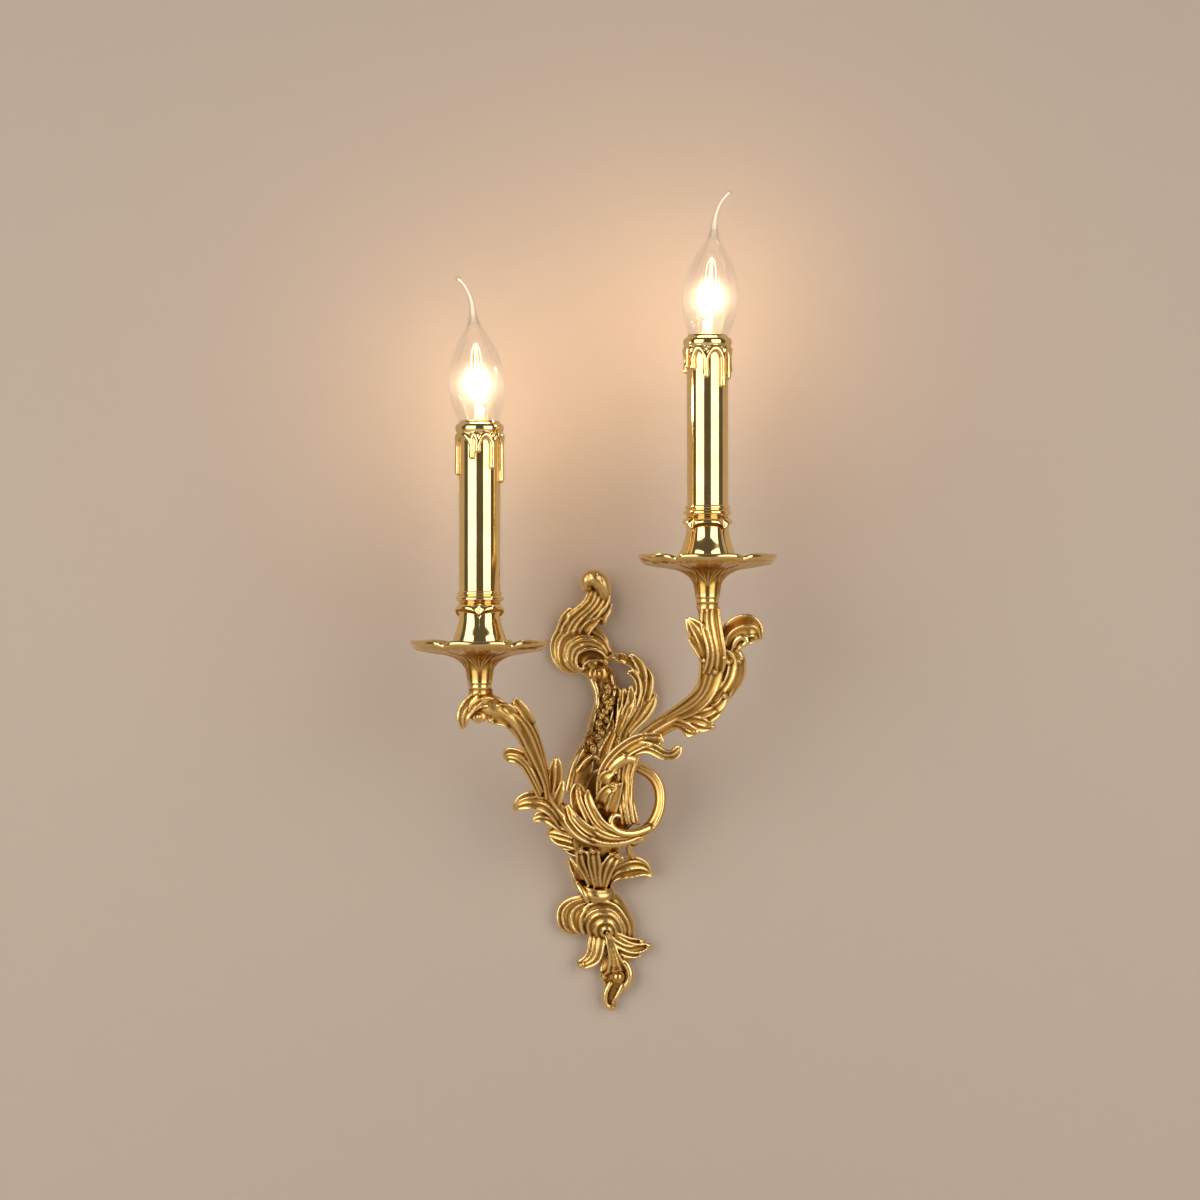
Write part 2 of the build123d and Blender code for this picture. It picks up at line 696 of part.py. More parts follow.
save("back_plate", back_plate())
ring = follow(ring_loop, ring_loop_d)
left_arm = arm(left_stem, left_leaves, [ring], left_boss, left_bore_route, left_candle_x, left_seat_z)
right_arm = arm(right_stem, right_leaves, [], right_boss, right_bore_route, right_candle_x, right_seat_z)
save("left_arm", left_arm)
save("right_arm", right_arm)

# Studs: a plain end that goes into the wall and a thinner threaded end for the ball nut
studs = []
stud_front = nut_seat_out + nut_thread - nut_end_gap
for x, z in (upper_stud, lower_stud):
    stud = Pos(0, 0, -stud_into_wall) * rod(stud_d, stud_into_wall) + rod(stud_front_d, stud_front)
    studs.append(facing(x, z, 0, stud))
save("wall_studs", *studs)

ball_middle = nut_collar_h + math.sqrt((ball_d / 2) ** 2 - (nut_collar_d / 2) ** 2)
ball_top = ball_middle + ball_d / 2
nut_bore_r = stud_front_d / 2 + thread_clearance
ball_nut = turned(
    line((nut_bore_r, 0), (nut_collar_d / 2, 0), (nut_collar_d / 2, nut_collar_h)),
    ThreePointArc(
        (nut_collar_d / 2, 0, nut_collar_h), (ball_d / 2, 0, ball_middle), (0, 0, ball_top)
    ),
    line((0, ball_top), (0, nut_thread), (nut_bore_r, nut_thread), (nut_bore_r, 0)),
)
save("upper_ball_nut", facing(*upper_stud, nut_seat_out, ball_nut))
save("lower_ball_nut", facing(*lower_stud, nut_seat_out, ball_nut))

washer_out = hub_out - hub_floor - arm_washer_t
nut_out = washer_out - arm_nut_h
nipple_back = nut_out - nipple_past_nut
nipples = []
nuts = []
washers = []
for x, z in (left_boss, right_boss):
    nipples.append(facing(x, z, nipple_back, tube(arm_nipple_d, arm_nipple_bore, nipple_front - nipple_back)))
    nuts.append(facing(x, z, nut_out, hex_nut(arm_nut_flats, arm_nipple_d + 2 * thread_clearance, arm_nut_h)))
    washers.append(
        facing(x, z, washer_out, tube(arm_washer_d, arm_nipple_d + 2 * thread_clearance, arm_washer_t))
    )
save("arm_nipples", *nipples)
save("arm_nipple_nuts", *nuts)
save("arm_nipple_washers", *washers)

# Terminal block: two clamps in an insulating block, screwed to the floor of its pocket
block = facing(block_x, block_z, block_back + block_t / 2, Box(block_w, block_h, block_t))
block -= facing(block_x, block_z, block_back, rod(fixing_screw_d + 2 * thread_clearance, block_t))
clamps = []
clamp_screws = []
for side in (-1, 1):
    pole = Pos(block_x + side * pole_pitch / 2, -clamp_out, block_top_z - block_h)
    block -= pole * rod(clamp_d + 2 * thread_clearance, block_h)
    clamp = pole * tube(clamp_d, clamp_bore, block_h)
    for row in (-1, 1):
        x = block_x + side * pole_pitch / 2
        z = block_z + row * clamp_screw_pitch / 2
        block -= facing(x, z, block_back, rod(clamp_screw_head_d + 4 * thread_clearance, block_t / 2))
        clamp -= facing(x, z, block_back, rod(clamp_screw_d + 2 * thread_clearance, block_t / 2))
        head_out = clamp_out - clamp_d / 2 - screw_head_h
        screw = rod(clamp_screw_head_d, screw_head_h - screw_head_gap)
        screw += rod(clamp_screw_d, screw_head_h + clamp_d / 2)
        clamp_screws.append(facing(x, z, head_out, screw))
    clamps.append(clamp)
save("terminal_block", block)
save("terminal_clamps", *clamps)
save("terminal_screws", *clamp_screws)
fixing_screw = rod(fixing_screw_head_d, screw_head_h)
fixing_screw += rod(fixing_screw_d, screw_head_h + block_t + fixing_screw_grip)
save("terminal_fixing_screw", facing(block_x, block_z, block_back - screw_head_h, fixing_screw))

earth_seat = hub_out - hub_floor - earth_washer_t
earth_hole = earth_screw_d + 2 * thread_clearance
save("earth_washer", facing(*hub_crown, earth_seat, tube(earth_washer_d, earth_hole, earth_washer_t)))
earth_screw = rod(earth_head_d, earth_head_h)
earth_screw += rod(earth_screw_d, earth_head_h + earth_washer_t + earth_grip)
save("earth_screw", facing(*hub_crown, earth_seat - earth_head_h, earth_screw))

for side, tail, bore_route, candle_x, seat_z in (
    ("left", left_tail, left_bore_route, left_candle_x, left_seat_z),
    ("right", right_tail, right_bore_route, right_candle_x, right_seat_z),
):
    run = route(tail + bore_route + [(candle_x, seat_z + lead_top, candle_out)])
    save(f"{side}_lamp_lead", follow(run, lead_d))

nipple_length = nipple_in_arm + holder_foot + nipple_in_holder
nut_foot = cup_foot + cup_floor
filaments, supports = bulb_wires()
for side, bend, drips, cup_turn, candle_x, seat_z in (
    ("left", -bulb_tip_bend, left_drips, left_cup_turn, left_candle_x, left_seat_z),
    ("right", bulb_tip_bend, right_drips, right_cup_turn, right_candle_x, right_seat_z),
):
    seat = Pos(candle_x, -candle_out, seat_z)
    save(f"{side}_drip_pan", seat * drip_pan())
    save(f"{side}_candle_cup", seat * (Pos(0, 0, cup_foot) * Rot(0, 0, cup_turn) * candle_cup()))
    save(f"{side}_candle_ring", seat * (Pos(0, 0, ring_foot) * candle_ring()))
    sleeve = Pos(0, 0, sleeve_foot) * tube(sleeve_d, sleeve_d - 2 * sleeve_wall, sleeve_h)
    save(f"{side}_candle_sleeve", seat * sleeve)
    save(f"{side}_drip_cap", seat * (Pos(0, 0, rim) * drip_cap(drips)))
    nipple = Pos(0, 0, -nipple_in_arm) * tube(nipple_d, nipple_bore, nipple_length)
    save(f"{side}_candle_nipple", seat * nipple)
    lock_nut = Pos(0, 0, nut_foot) * hex_nut(nipple_nut_flats, nipple_hole, nipple_nut_h)
    save(f"{side}_candle_nut", seat * lock_nut)
    save(f"{side}_holder_body", seat * (Pos(0, 0, holder_foot) * holder_body()))
    shell = Pos(0, 0, holder_foot + socket_floor + shell_start) * tube(shell_d, shell_bore, shell_h)
    save(f"{side}_holder_shell", seat * shell)
    save(f"{side}_holder_contact", seat * (Pos(0, 0, holder_foot + socket_floor) * holder_contact()))
    save(f"{side}_bulb_cap", seat * bulb_cap())
    save(f"{side}_bulb_insulator", seat * bulb_insulator())
    save(f"{side}_bulb_contact", seat * bulb_contact())
    save(f"{side}_bulb_glass", seat * bulb_glass(bend))
    save(f"{side}_bulb_stem", seat * bulb_stem())
    save(f"{side}_bulb_filaments", *[seat * shape for shape in filaments])
    save(f"{side}_bulb_supports", *[seat * shape for shape in supports])
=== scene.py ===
import math

import bpy
import numpy as np
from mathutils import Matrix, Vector


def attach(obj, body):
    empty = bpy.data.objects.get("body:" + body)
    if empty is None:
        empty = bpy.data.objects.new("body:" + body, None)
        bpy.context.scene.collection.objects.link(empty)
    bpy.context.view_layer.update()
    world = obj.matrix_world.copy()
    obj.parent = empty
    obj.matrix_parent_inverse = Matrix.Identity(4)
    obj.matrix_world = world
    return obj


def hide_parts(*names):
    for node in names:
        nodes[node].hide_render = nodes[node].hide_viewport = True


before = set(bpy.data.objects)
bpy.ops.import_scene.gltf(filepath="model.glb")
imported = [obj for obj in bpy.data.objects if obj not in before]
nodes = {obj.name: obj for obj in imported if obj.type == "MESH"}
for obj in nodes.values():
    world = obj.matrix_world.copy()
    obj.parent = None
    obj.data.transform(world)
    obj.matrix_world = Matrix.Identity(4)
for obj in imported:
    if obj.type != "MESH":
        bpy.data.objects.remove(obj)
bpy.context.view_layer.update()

# Back plate
# One gilded brass casting, flat behind and chased in front: fluted acanthus blades and shells
# round a hollow hub. Places on the ornament are (x, z, out) in mm, out being clear of the wall.
MM = 0.001


def run_of(rows, least_step=0.2):
    """Distances along a row of points, used as the knots of a smooth line through them."""
    steps = np.linalg.norm(np.diff(rows, axis=0), axis=1)
    return np.concatenate([[0.0], np.cumsum(np.maximum(steps, least_step))])


def smooth(knots, rows, spots):
    """The natural cubic line through rows at knots, read at spots."""
    count = len(knots)
    gap = np.diff(knots)
    slope = np.diff(rows, axis=0) / gap[:, None]
    weights = np.eye(count)
    pull = np.zeros_like(rows)
    for i in range(1, count - 1):
        weights[i, i - 1:i + 2] = gap[i - 1], 2 * (gap[i - 1] + gap[i]), gap[i]
        pull[i] = 6 * (slope[i] - slope[i - 1])
    bend = np.linalg.solve(weights, pull)
    k = np.clip(np.searchsorted(knots, spots) - 1, 0, count - 2)
    before = (spots - knots[k])[:, None]
    after = (knots[k + 1] - spots)[:, None]
    h = gap[k][:, None]
    ends = (rows[k] / h - bend[k] * h / 6) * after + (rows[k + 1] / h - bend[k + 1] * h / 6) * before
    return (bend[k] * after ** 3 + bend[k + 1] * before ** 3) / (6 * h) + ends


def unit(rows):
    """Rows scaled to a length of 1."""
    return rows / np.maximum(np.linalg.norm(rows, axis=-1, keepdims=True), 1e-9)


def closed_shell(face, back):
    """Points and quads of a closed sheet with a front and a back grid."""
    rows, columns = face.shape[:2]
    number = np.arange(rows * columns).reshape(rows, columns)
    quads = []
    for grid, turn in ((number, 1), (number + rows * columns, -1)):
        corners = [grid[:-1, :-1], grid[:-1, 1:], grid[1:, 1:], grid[1:, :-1]]
        quads.append(np.stack(corners[::turn], -1).reshape(-1, 4))
    rim = np.concatenate([number[0], number[1:, -1], number[-1, -2::-1], number[-2:0:-1, 0]])
    after = np.roll(rim, -1)
    quads.append(np.stack([after, rim, rim + rows * columns, after + rows * columns], -1))
    return np.concatenate([face.reshape(-1, 3), back.reshape(-1, 3)]), np.concatenate(quads)


def joined(*shapes):
    """Several closed shapes as one set of points and quads."""
    points, quads, count = [], [], 0
    for spots, faces in shapes:
        points.append(spots)
        quads.append(faces + count)
        count += len(spots)
    return np.concatenate(points), np.concatenate(quads)


def tube(path, size, flutes=0, depth=0.0, flat=1.0, sides=12):
    """A closed tube along a path, with rounded ends and, if asked, flutes cut along it."""
    nearly_out = np.array([0.02, 0.01, 1.0])
    flute_sway = 0.22
    ahead = unit(np.gradient(path, axis=0))
    tip = np.radians([88, 60, 30])
    first = path[0] - ahead[0] * size[0] * np.sin(tip)[:, None]
    last = path[-1] + ahead[-1] * size[-1] * np.sin(tip[::-1])[:, None]
    path = np.concatenate([first, path, last])
    size = np.concatenate([size[0] * np.cos(tip), size, size[-1] * np.cos(tip[::-1])])
    ahead = np.concatenate([ahead[:1].repeat(3, 0), ahead, ahead[-1:].repeat(3, 0)])
    side = unit(np.cross(ahead, nearly_out))
    rise = np.cross(side, ahead)
    angle = np.linspace(0, 2 * math.pi, max(sides, 8 * flutes) + 1)[:-1]
    fall = 1 - depth * np.abs(np.sin(flutes * (angle + flute_sway * np.sin(2 * angle)) / 2))
    across = np.cos(angle)[None, :, None] * side[:, None]
    ring = across + flat * np.sin(angle)[None, :, None] * rise[:, None]
    points = path[:, None] + ring * (size[:, None] * fall[None])[:, :, None]
    rows, columns = points.shape[:2]
    number = np.arange(rows * columns).reshape(rows, columns)
    turned = np.roll(number, -1, axis=1)
    quads = np.stack([number[:-1], turned[:-1], turned[1:], number[1:]], -1).reshape(-1, 4)
    ends = [np.stack([e, np.roll(e, -1), np.full(columns, c), np.full(columns, c)], -1)
            for e, c in ((number[0][::-1], rows * columns), (number[-1], rows * columns + 1))]
    return np.concatenate([points.reshape(-1, 3), path[:1], path[-1:]]), np.concatenate([quads, *ends])


def strand(places, radii, step=0.7, **form):
    """A tapered round rib or fluted stem through places."""
    rows = np.array(places, float)
    knots = run_of(rows)
    spots = np.linspace(0, knots[-1], max(8, int(knots[-1] / step)))
    return tube(smooth(knots, rows, spots), np.interp(spots, knots, radii), **form)


def blade(one_edge, other_edge, creases, rib=1.3, crown=0.0, thick=None, rim=0.9, dive=2.2):
    """A leaf blade between two edges, hollowed between creases (their number, or their shares of the
    width) and rolled round along its edges. Its root dives into what it grows from. It goes back to
    the wall, or has its own thickness."""
    step = 0.8
    least_width = 0.8
    root_share = 0.09
    deepest_share = 0.3
    hollow_slant = 0.75
    edge_share = 0.35
    full_rim_width = 5.0
    least_rim_share = 0.55
    rim_sunk_share = 0.6
    one = np.array(one_edge, float)
    other = np.array(other_edge, float)
    knots = run_of((one + other) / 2)
    spots = np.linspace(0, knots[-1], max(10, int(knots[-1] / step)))
    one = smooth(knots, one, spots)
    other = smooth(knots, other, spots)
    marks = np.linspace(0, 1, creases + 1) if isinstance(creases, int) else np.array(creases)
    share = np.append(np.linspace(marks[:-1], marks[1:], 9)[:-1].T.ravel(), 1.0)
    width = np.linalg.norm(other - one, axis=1)
    wide = np.where((width > least_width)[:, None], other - one, 0)
    filled = np.maximum.accumulate(np.where(width > least_width, np.arange(len(width)), 0))
    out = unit(np.cross(np.gradient((one + other) / 2, axis=0), wide[filled]))
    out *= np.sign(out[:, 2].mean() or 1)
    sunk = dive * np.exp(-spots / (root_share * knots[-1]))
    sheet = one[:, None] + (other - one)[:, None] * share[None, :, None] - (out * sunk[:, None])[:, None]
    arch = 1 - (2 * share - 1) ** 2
    k = np.clip(np.searchsorted(marks, share, side="right") - 1, 0, len(marks) - 2)
    span = marks[k + 1] - marks[k]
    lean = np.clip((share - marks[k]) / span, 0, 1) ** hollow_slant
    hollow = np.minimum(rib, deepest_share * width[:, None] * span) * np.sin(math.pi * lean)
    ridge = np.minimum(rib, deepest_share * width / (len(marks) - 1))[:, None]
    lift = ridge - hollow + crown * width[:, None] * arch
    face = sheet + out[:, None] * lift[:, :, None]
    if thick is None:
        back = face * (1, 1, 0)
    else:
        depth = thick * (edge_share + (1 - edge_share) * arch)
        back = sheet - out[:, None] * depth[None, :, None]
    if not rim:
        return closed_shell(face, back)
    round_r = rim * np.clip(width / full_rim_width, least_rim_share, 1)
    rolls = [tube(face[:, i] - out * rim_sunk_share * round_r[:, None], round_r, sides=8) for i in (0, -1)]
    return joined(closed_shell(face, back), *rolls)


def finger(spine, widths, creases=1, rib=1.1, crown=0.0, thick=None, rim=0.8, dive=2.2, curl=0.0):
    """A tapering finger of a leaf about its spine, its tip curled over into a bead if asked."""
    rows = np.array(spine, float)
    along = np.gradient(rows[:, :2], axis=0)
    across = np.column_stack([-along[:, 1], along[:, 0], np.zeros(len(rows))])
    across = unit(across) * np.array(widths)[:, None] / 2
    leaf = blade(rows + across, rows - across, creases, rib, crown, thick, rim, dive)
    if not curl:
        return leaf
    x, z, out = rows[-1]
    return joined(leaf, bead(x, z, out + 0.4 * curl, curl))


def bead(x, z, out, half_x, half_z=None, half_out=None):
    """A round bead or a domed boss."""
    turn = np.linspace(-1, 1, 9)[1:-1] * math.pi / 2
    places = [(0, 0, math.sin(t)) for t in turn]
    points, quads = strand(places, np.cos(turn), sides=18)
    points = points / (1, 1, np.abs(points[:, 2]).max())
    half_z = half_z or half_x
    return points * (half_x, half_z, half_out or half_x) + (x, z, out), quads


def prism(outline, low, high):
    """A straight block over a closed outline of (x, z), from out low to out high."""
    outline = np.array(outline, float)
    count = len(outline)
    points = [np.column_stack([outline, np.full(count, h)]) for h in (low, high)]
    middle = [[*outline.mean(0), h] for h in (low, high)]
    ring = np.arange(count)
    after = np.roll(ring, -1)
    low_middle = np.full(count, 2 * count)
    quads = [np.stack([ring, after, after + count, ring + count], -1),
             np.stack([after, ring, low_middle, low_middle], -1),
             np.stack([ring + count, after + count, low_middle + 1, low_middle + 1], -1)]
    return np.concatenate([*points, middle]), np.concatenate(quads)


def round_outline(x, z, r, count=32):
    """Points of (x, z) on a circle."""
    angle = np.linspace(0, 2 * math.pi, count + 1)[:-1]
    return np.column_stack([x + r * np.cos(angle), z + r * np.sin(angle)])


def hull_outline(points):
    """The convex outline round points of (x, z), turning to the left."""
    points = sorted(map(tuple, points))
    chains = []
    for row in (points, points[::-1]):
        chain = []
        for p in row:
            while len(chain) > 1:
                (ax, az), (bx, bz) = chain[-2:]
                if (bx - ax) * (p[1] - az) - (bz - az) * (p[0] - ax) > 0:
                    break
                chain.pop()
            chain.append(p)
        chains += chain[:-1]
    return chains


def mesh_of(name, shapes):
    """A mesh in metres of shapes given in (x, z, out) mm."""
    points, quads = joined(*shapes)
    faces = [[c for i, c in enumerate(q) if c not in q[:i]] for q in quads.tolist()]
    places = np.column_stack([points[:, 0], -points[:, 2], points[:, 1]]) * MM
    mesh = bpy.data.meshes.new(name)
    mesh.from_pydata(places.tolist(), [], faces)
    return mesh


def put(name, data):
    """A new object in the scene."""
    obj = bpy.data.objects.new(name, data)
    bpy.context.scene.collection.objects.link(obj)
    return obj


def settle(obj):
    """Turn what the modifiers give into the object's own plain mesh."""
    before = obj.data
    graph = bpy.context.evaluated_depsgraph_get()
    obj.data = bpy.data.meshes.new_from_object(obj.evaluated_get(graph))
    obj.modifiers.clear()
    obj.data.name = obj.name
    bpy.data.meshes.remove(before)


def take_out(obj, mesh):
    """Cut a closed mesh out of a casting."""
    tool = put("cut", mesh)
    bite = obj.modifiers.new("bite", "BOOLEAN")
    bite.operation = "DIFFERENCE"
    bite.solver = "MANIFOLD"
    bite.object = tool
    settle(obj)
    bpy.data.objects.remove(tool)


most_triangles = 180000
sharp_angle = math.radians(60)


def cast(name, shapes, grain, cuts=()):
    """One casting: all shapes run together into one skin, softened, with cuts taken out."""
    obj = put(name, mesh_of(name, shapes))
    skin = obj.modifiers.new("skin", "REMESH")
    skin.mode = "VOXEL"
    skin.voxel_size = grain * MM
    soften = obj.modifiers.new("soften", "SMOOTH")
    soften.factor = 0.5
    soften.iterations = 3
    settle(obj)
    for cut in cuts:
        take_out(obj, mesh_of("cut", [cut]))
    obj.data.calc_loop_triangles()
    share = most_triangles / len(obj.data.loop_triangles)
    if share < 1:
        thin = obj.modifiers.new("thin", "DECIMATE")
        thin.ratio = share
        settle(obj)
    obj.data.materials.clear()
    obj.data.polygons.foreach_set("material_index", np.zeros(len(obj.data.polygons), np.int32))
    obj.data.shade_smooth()
    obj.data.set_sharp_from_angle(angle=sharp_angle)
    return obj


def store(mesh, name, values):
    """Keep one value for each point of a mesh, for its finish to read."""
    mesh.attributes.new(name, "FLOAT", "POINT").data.foreach_set("value", values.astype(np.float32))


def note_wear_and_shade(obj, passes=10, gain=6.0, ground_out=None):
    """Store how proud each point stands, for wear, patina and painted shade: 0 in the hollows and on the
    ground, 1 on the ridges.
    """
    ground_reach = 0.4 * MM
    ground_share = 0.2
    mesh = obj.data

    def read(points, label):
        rows = np.empty(len(points) * 3)
        points.foreach_get(label, rows)
        return rows.reshape(-1, 3)

    place = read(mesh.vertices, "co")
    facing = read(mesh.vertex_normals, "vector")
    edges = np.empty(len(mesh.edges) * 2, int)
    mesh.edges.foreach_get("vertices", edges)
    one, other = edges.reshape(-1, 2).T
    count = np.maximum(np.bincount(edges, minlength=len(place)), 1)
    apart = unit(place[other] - place[one])
    bend = np.bincount(one, -(facing[one] * apart).sum(1), len(place))
    bend += np.bincount(other, (facing[other] * apart).sum(1), len(place))
    bend /= count
    for _ in range(passes):
        total = np.bincount(one, bend[other], len(place)) + np.bincount(other, bend[one], len(place))
        bend = (bend + total / count) / 2
    wear = np.clip(0.5 + gain * bend, 0, 1)
    # Painted shade: the flat ground at ground_out is darkened as if it lay in shadow.
    if ground_out is not None:
        wear[np.abs(place[:, 1] + ground_out * MM) < ground_reach] *= ground_share
    store(mesh, "wear", wear)


def finish_of(name):
    """An empty node material, its surface shader and the two makers that fill it."""
    material = bpy.data.materials.new(name)
    material.use_nodes = True
    tree = material.node_tree
    shader = tree.nodes["Principled BSDF"]

    def add(kind, **values):
        node = tree.nodes.new(kind)
        for key, value in values.items():
            setattr(node, key, value)
        return node

    return material, shader, add, tree.links.new


def ramp(add, link, source, *stops):
    """A colour, or a grey for one number, that follows a value through stops."""
    node = add("ShaderNodeValToRGB")
    elements = node.color_ramp.elements
    while len(elements) < len(stops):
        elements.new(0.5)
    for element, (place, colour) in zip(elements, stops):
        element.position = place
        element.color = (*colour, 1) if len(colour) == 3 else (colour[0], colour[0], colour[0], 1)
    link(source, node.inputs["Fac"])
    return node.outputs["Color"]


def noise(add, link, scale, detail):
    """A noise fixed to the piece."""
    where = add("ShaderNodeTexCoord")
    node = add("ShaderNodeTexNoise")
    node.inputs["Scale"].default_value = scale
    node.inputs["Detail"].default_value = detail
    link(where.outputs["Object"], node.inputs["Vector"])
    return node.outputs["Fac"]


def bump(add, link, shader, height, strength, distance):
    """Roughen a finish by a height."""
    node = add("ShaderNodeBump")
    node.inputs["Strength"].default_value = strength
    node.inputs["Distance"].default_value = distance
    link(height, node.inputs["Height"])
    link(node.outputs["Normal"], shader.inputs["Normal"])


def gilt_brass(name, dullness, light):
    """Gilt casting: brown patina and painted shade kept in the hollows, bright where it is rubbed."""
    material, shader, add, link = finish_of(name)
    shader.inputs["Metallic"].default_value = 1.0
    worn_and_shaded = add("ShaderNodeAttribute", attribute_name="wear").outputs["Fac"]
    patches = noise(add, link, scale=120.0, detail=4.0)
    patch_share = 0.22
    mix = add("ShaderNodeMath", operation="MULTIPLY_ADD")
    mix.inputs[1].default_value = patch_share
    link(patches, mix.inputs[0])
    link(worn_and_shaded, mix.inputs[2])
    tone = mix.outputs["Value"]
    # Dark brown at the low end is patina and painted shade in the hollows and undercuts.
    shades = ((0.16, (0.11, 0.045, 0.008)), (0.44, (0.4, 0.205, 0.045)), (0.62, (0.7, 0.405, 0.11)),
              (0.92, (0.93, 0.67, 0.29)))
    colour = ramp(add, link, tone, *((at, tuple(light * c for c in shade)) for at, shade in shades))
    link(colour, shader.inputs["Base Color"])
    gloss = ((0.25, 0.44), (0.65, 0.3), (0.95, 0.22))
    roughness = ramp(add, link, tone, *((at, (rough * dullness,)) for at, rough in gloss))
    link(roughness, shader.inputs["Roughness"])
    bump(add, link, shader, noise(add, link, scale=900.0, detail=2.0), strength=0.12, distance=0.0002)
    return material


upper_stud = (-6.7, 97.2)
lower_stud = (6.7, -97.2)
nut_seat_out = 9.0
nut_seat_r = 5.4
hub_circles = ((-13.0, -3.0, 9.7), (8.0, 7.0, 9.7), (-3.0, 26.0, 10.0))
hub_out = 30.0
pocket_out = 22.0
hub_wall = 2.3
stud_hole_r = 2.25
terminal_pocket = [(-16.5, -28.5), (-1.5, -28.5), (-1.5, -3), (-16.5, -3)]
terminal_pocket_out = 13
wall_side = [(-60, -140), (60, -140), (60, 180), (-60, 180)]
wall_depth = 8
over_cut = 1
calyx = [finger(spine, widths, creases=2, rib=1.2, crown=0.06, curl=curl) for spine, widths, curl in (
    ([(-9.5, -41, 15), (-13, -29, 19.5), (-16, -20, 24), (-17, -15, 26)], [3.4, 6.6, 7.8, 4.8], 2.5),
    ([(-6.2, -41.5, 16), (-7.8, -29, 21), (-8.8, -20, 26), (-9.4, -14.8, 28)], [3.6, 6.2, 7.2, 5], 2.8),
    ([(-3, -41.5, 15.5), (-1, -30, 20), (2.6, -22, 24.5), (6.4, -17.6, 25.5)], [3.6, 6.6, 7.2, 4.4], 2.7),
)]
calyx_curls = [bead(*spot, 1.6) for spot in ((-19.8, -17, 25), (-12.9, -16.4, 27), (-5.6, -16, 27.6),
                                             (2.2, -17.4, 25.6), (9.4, -20, 24.5))]
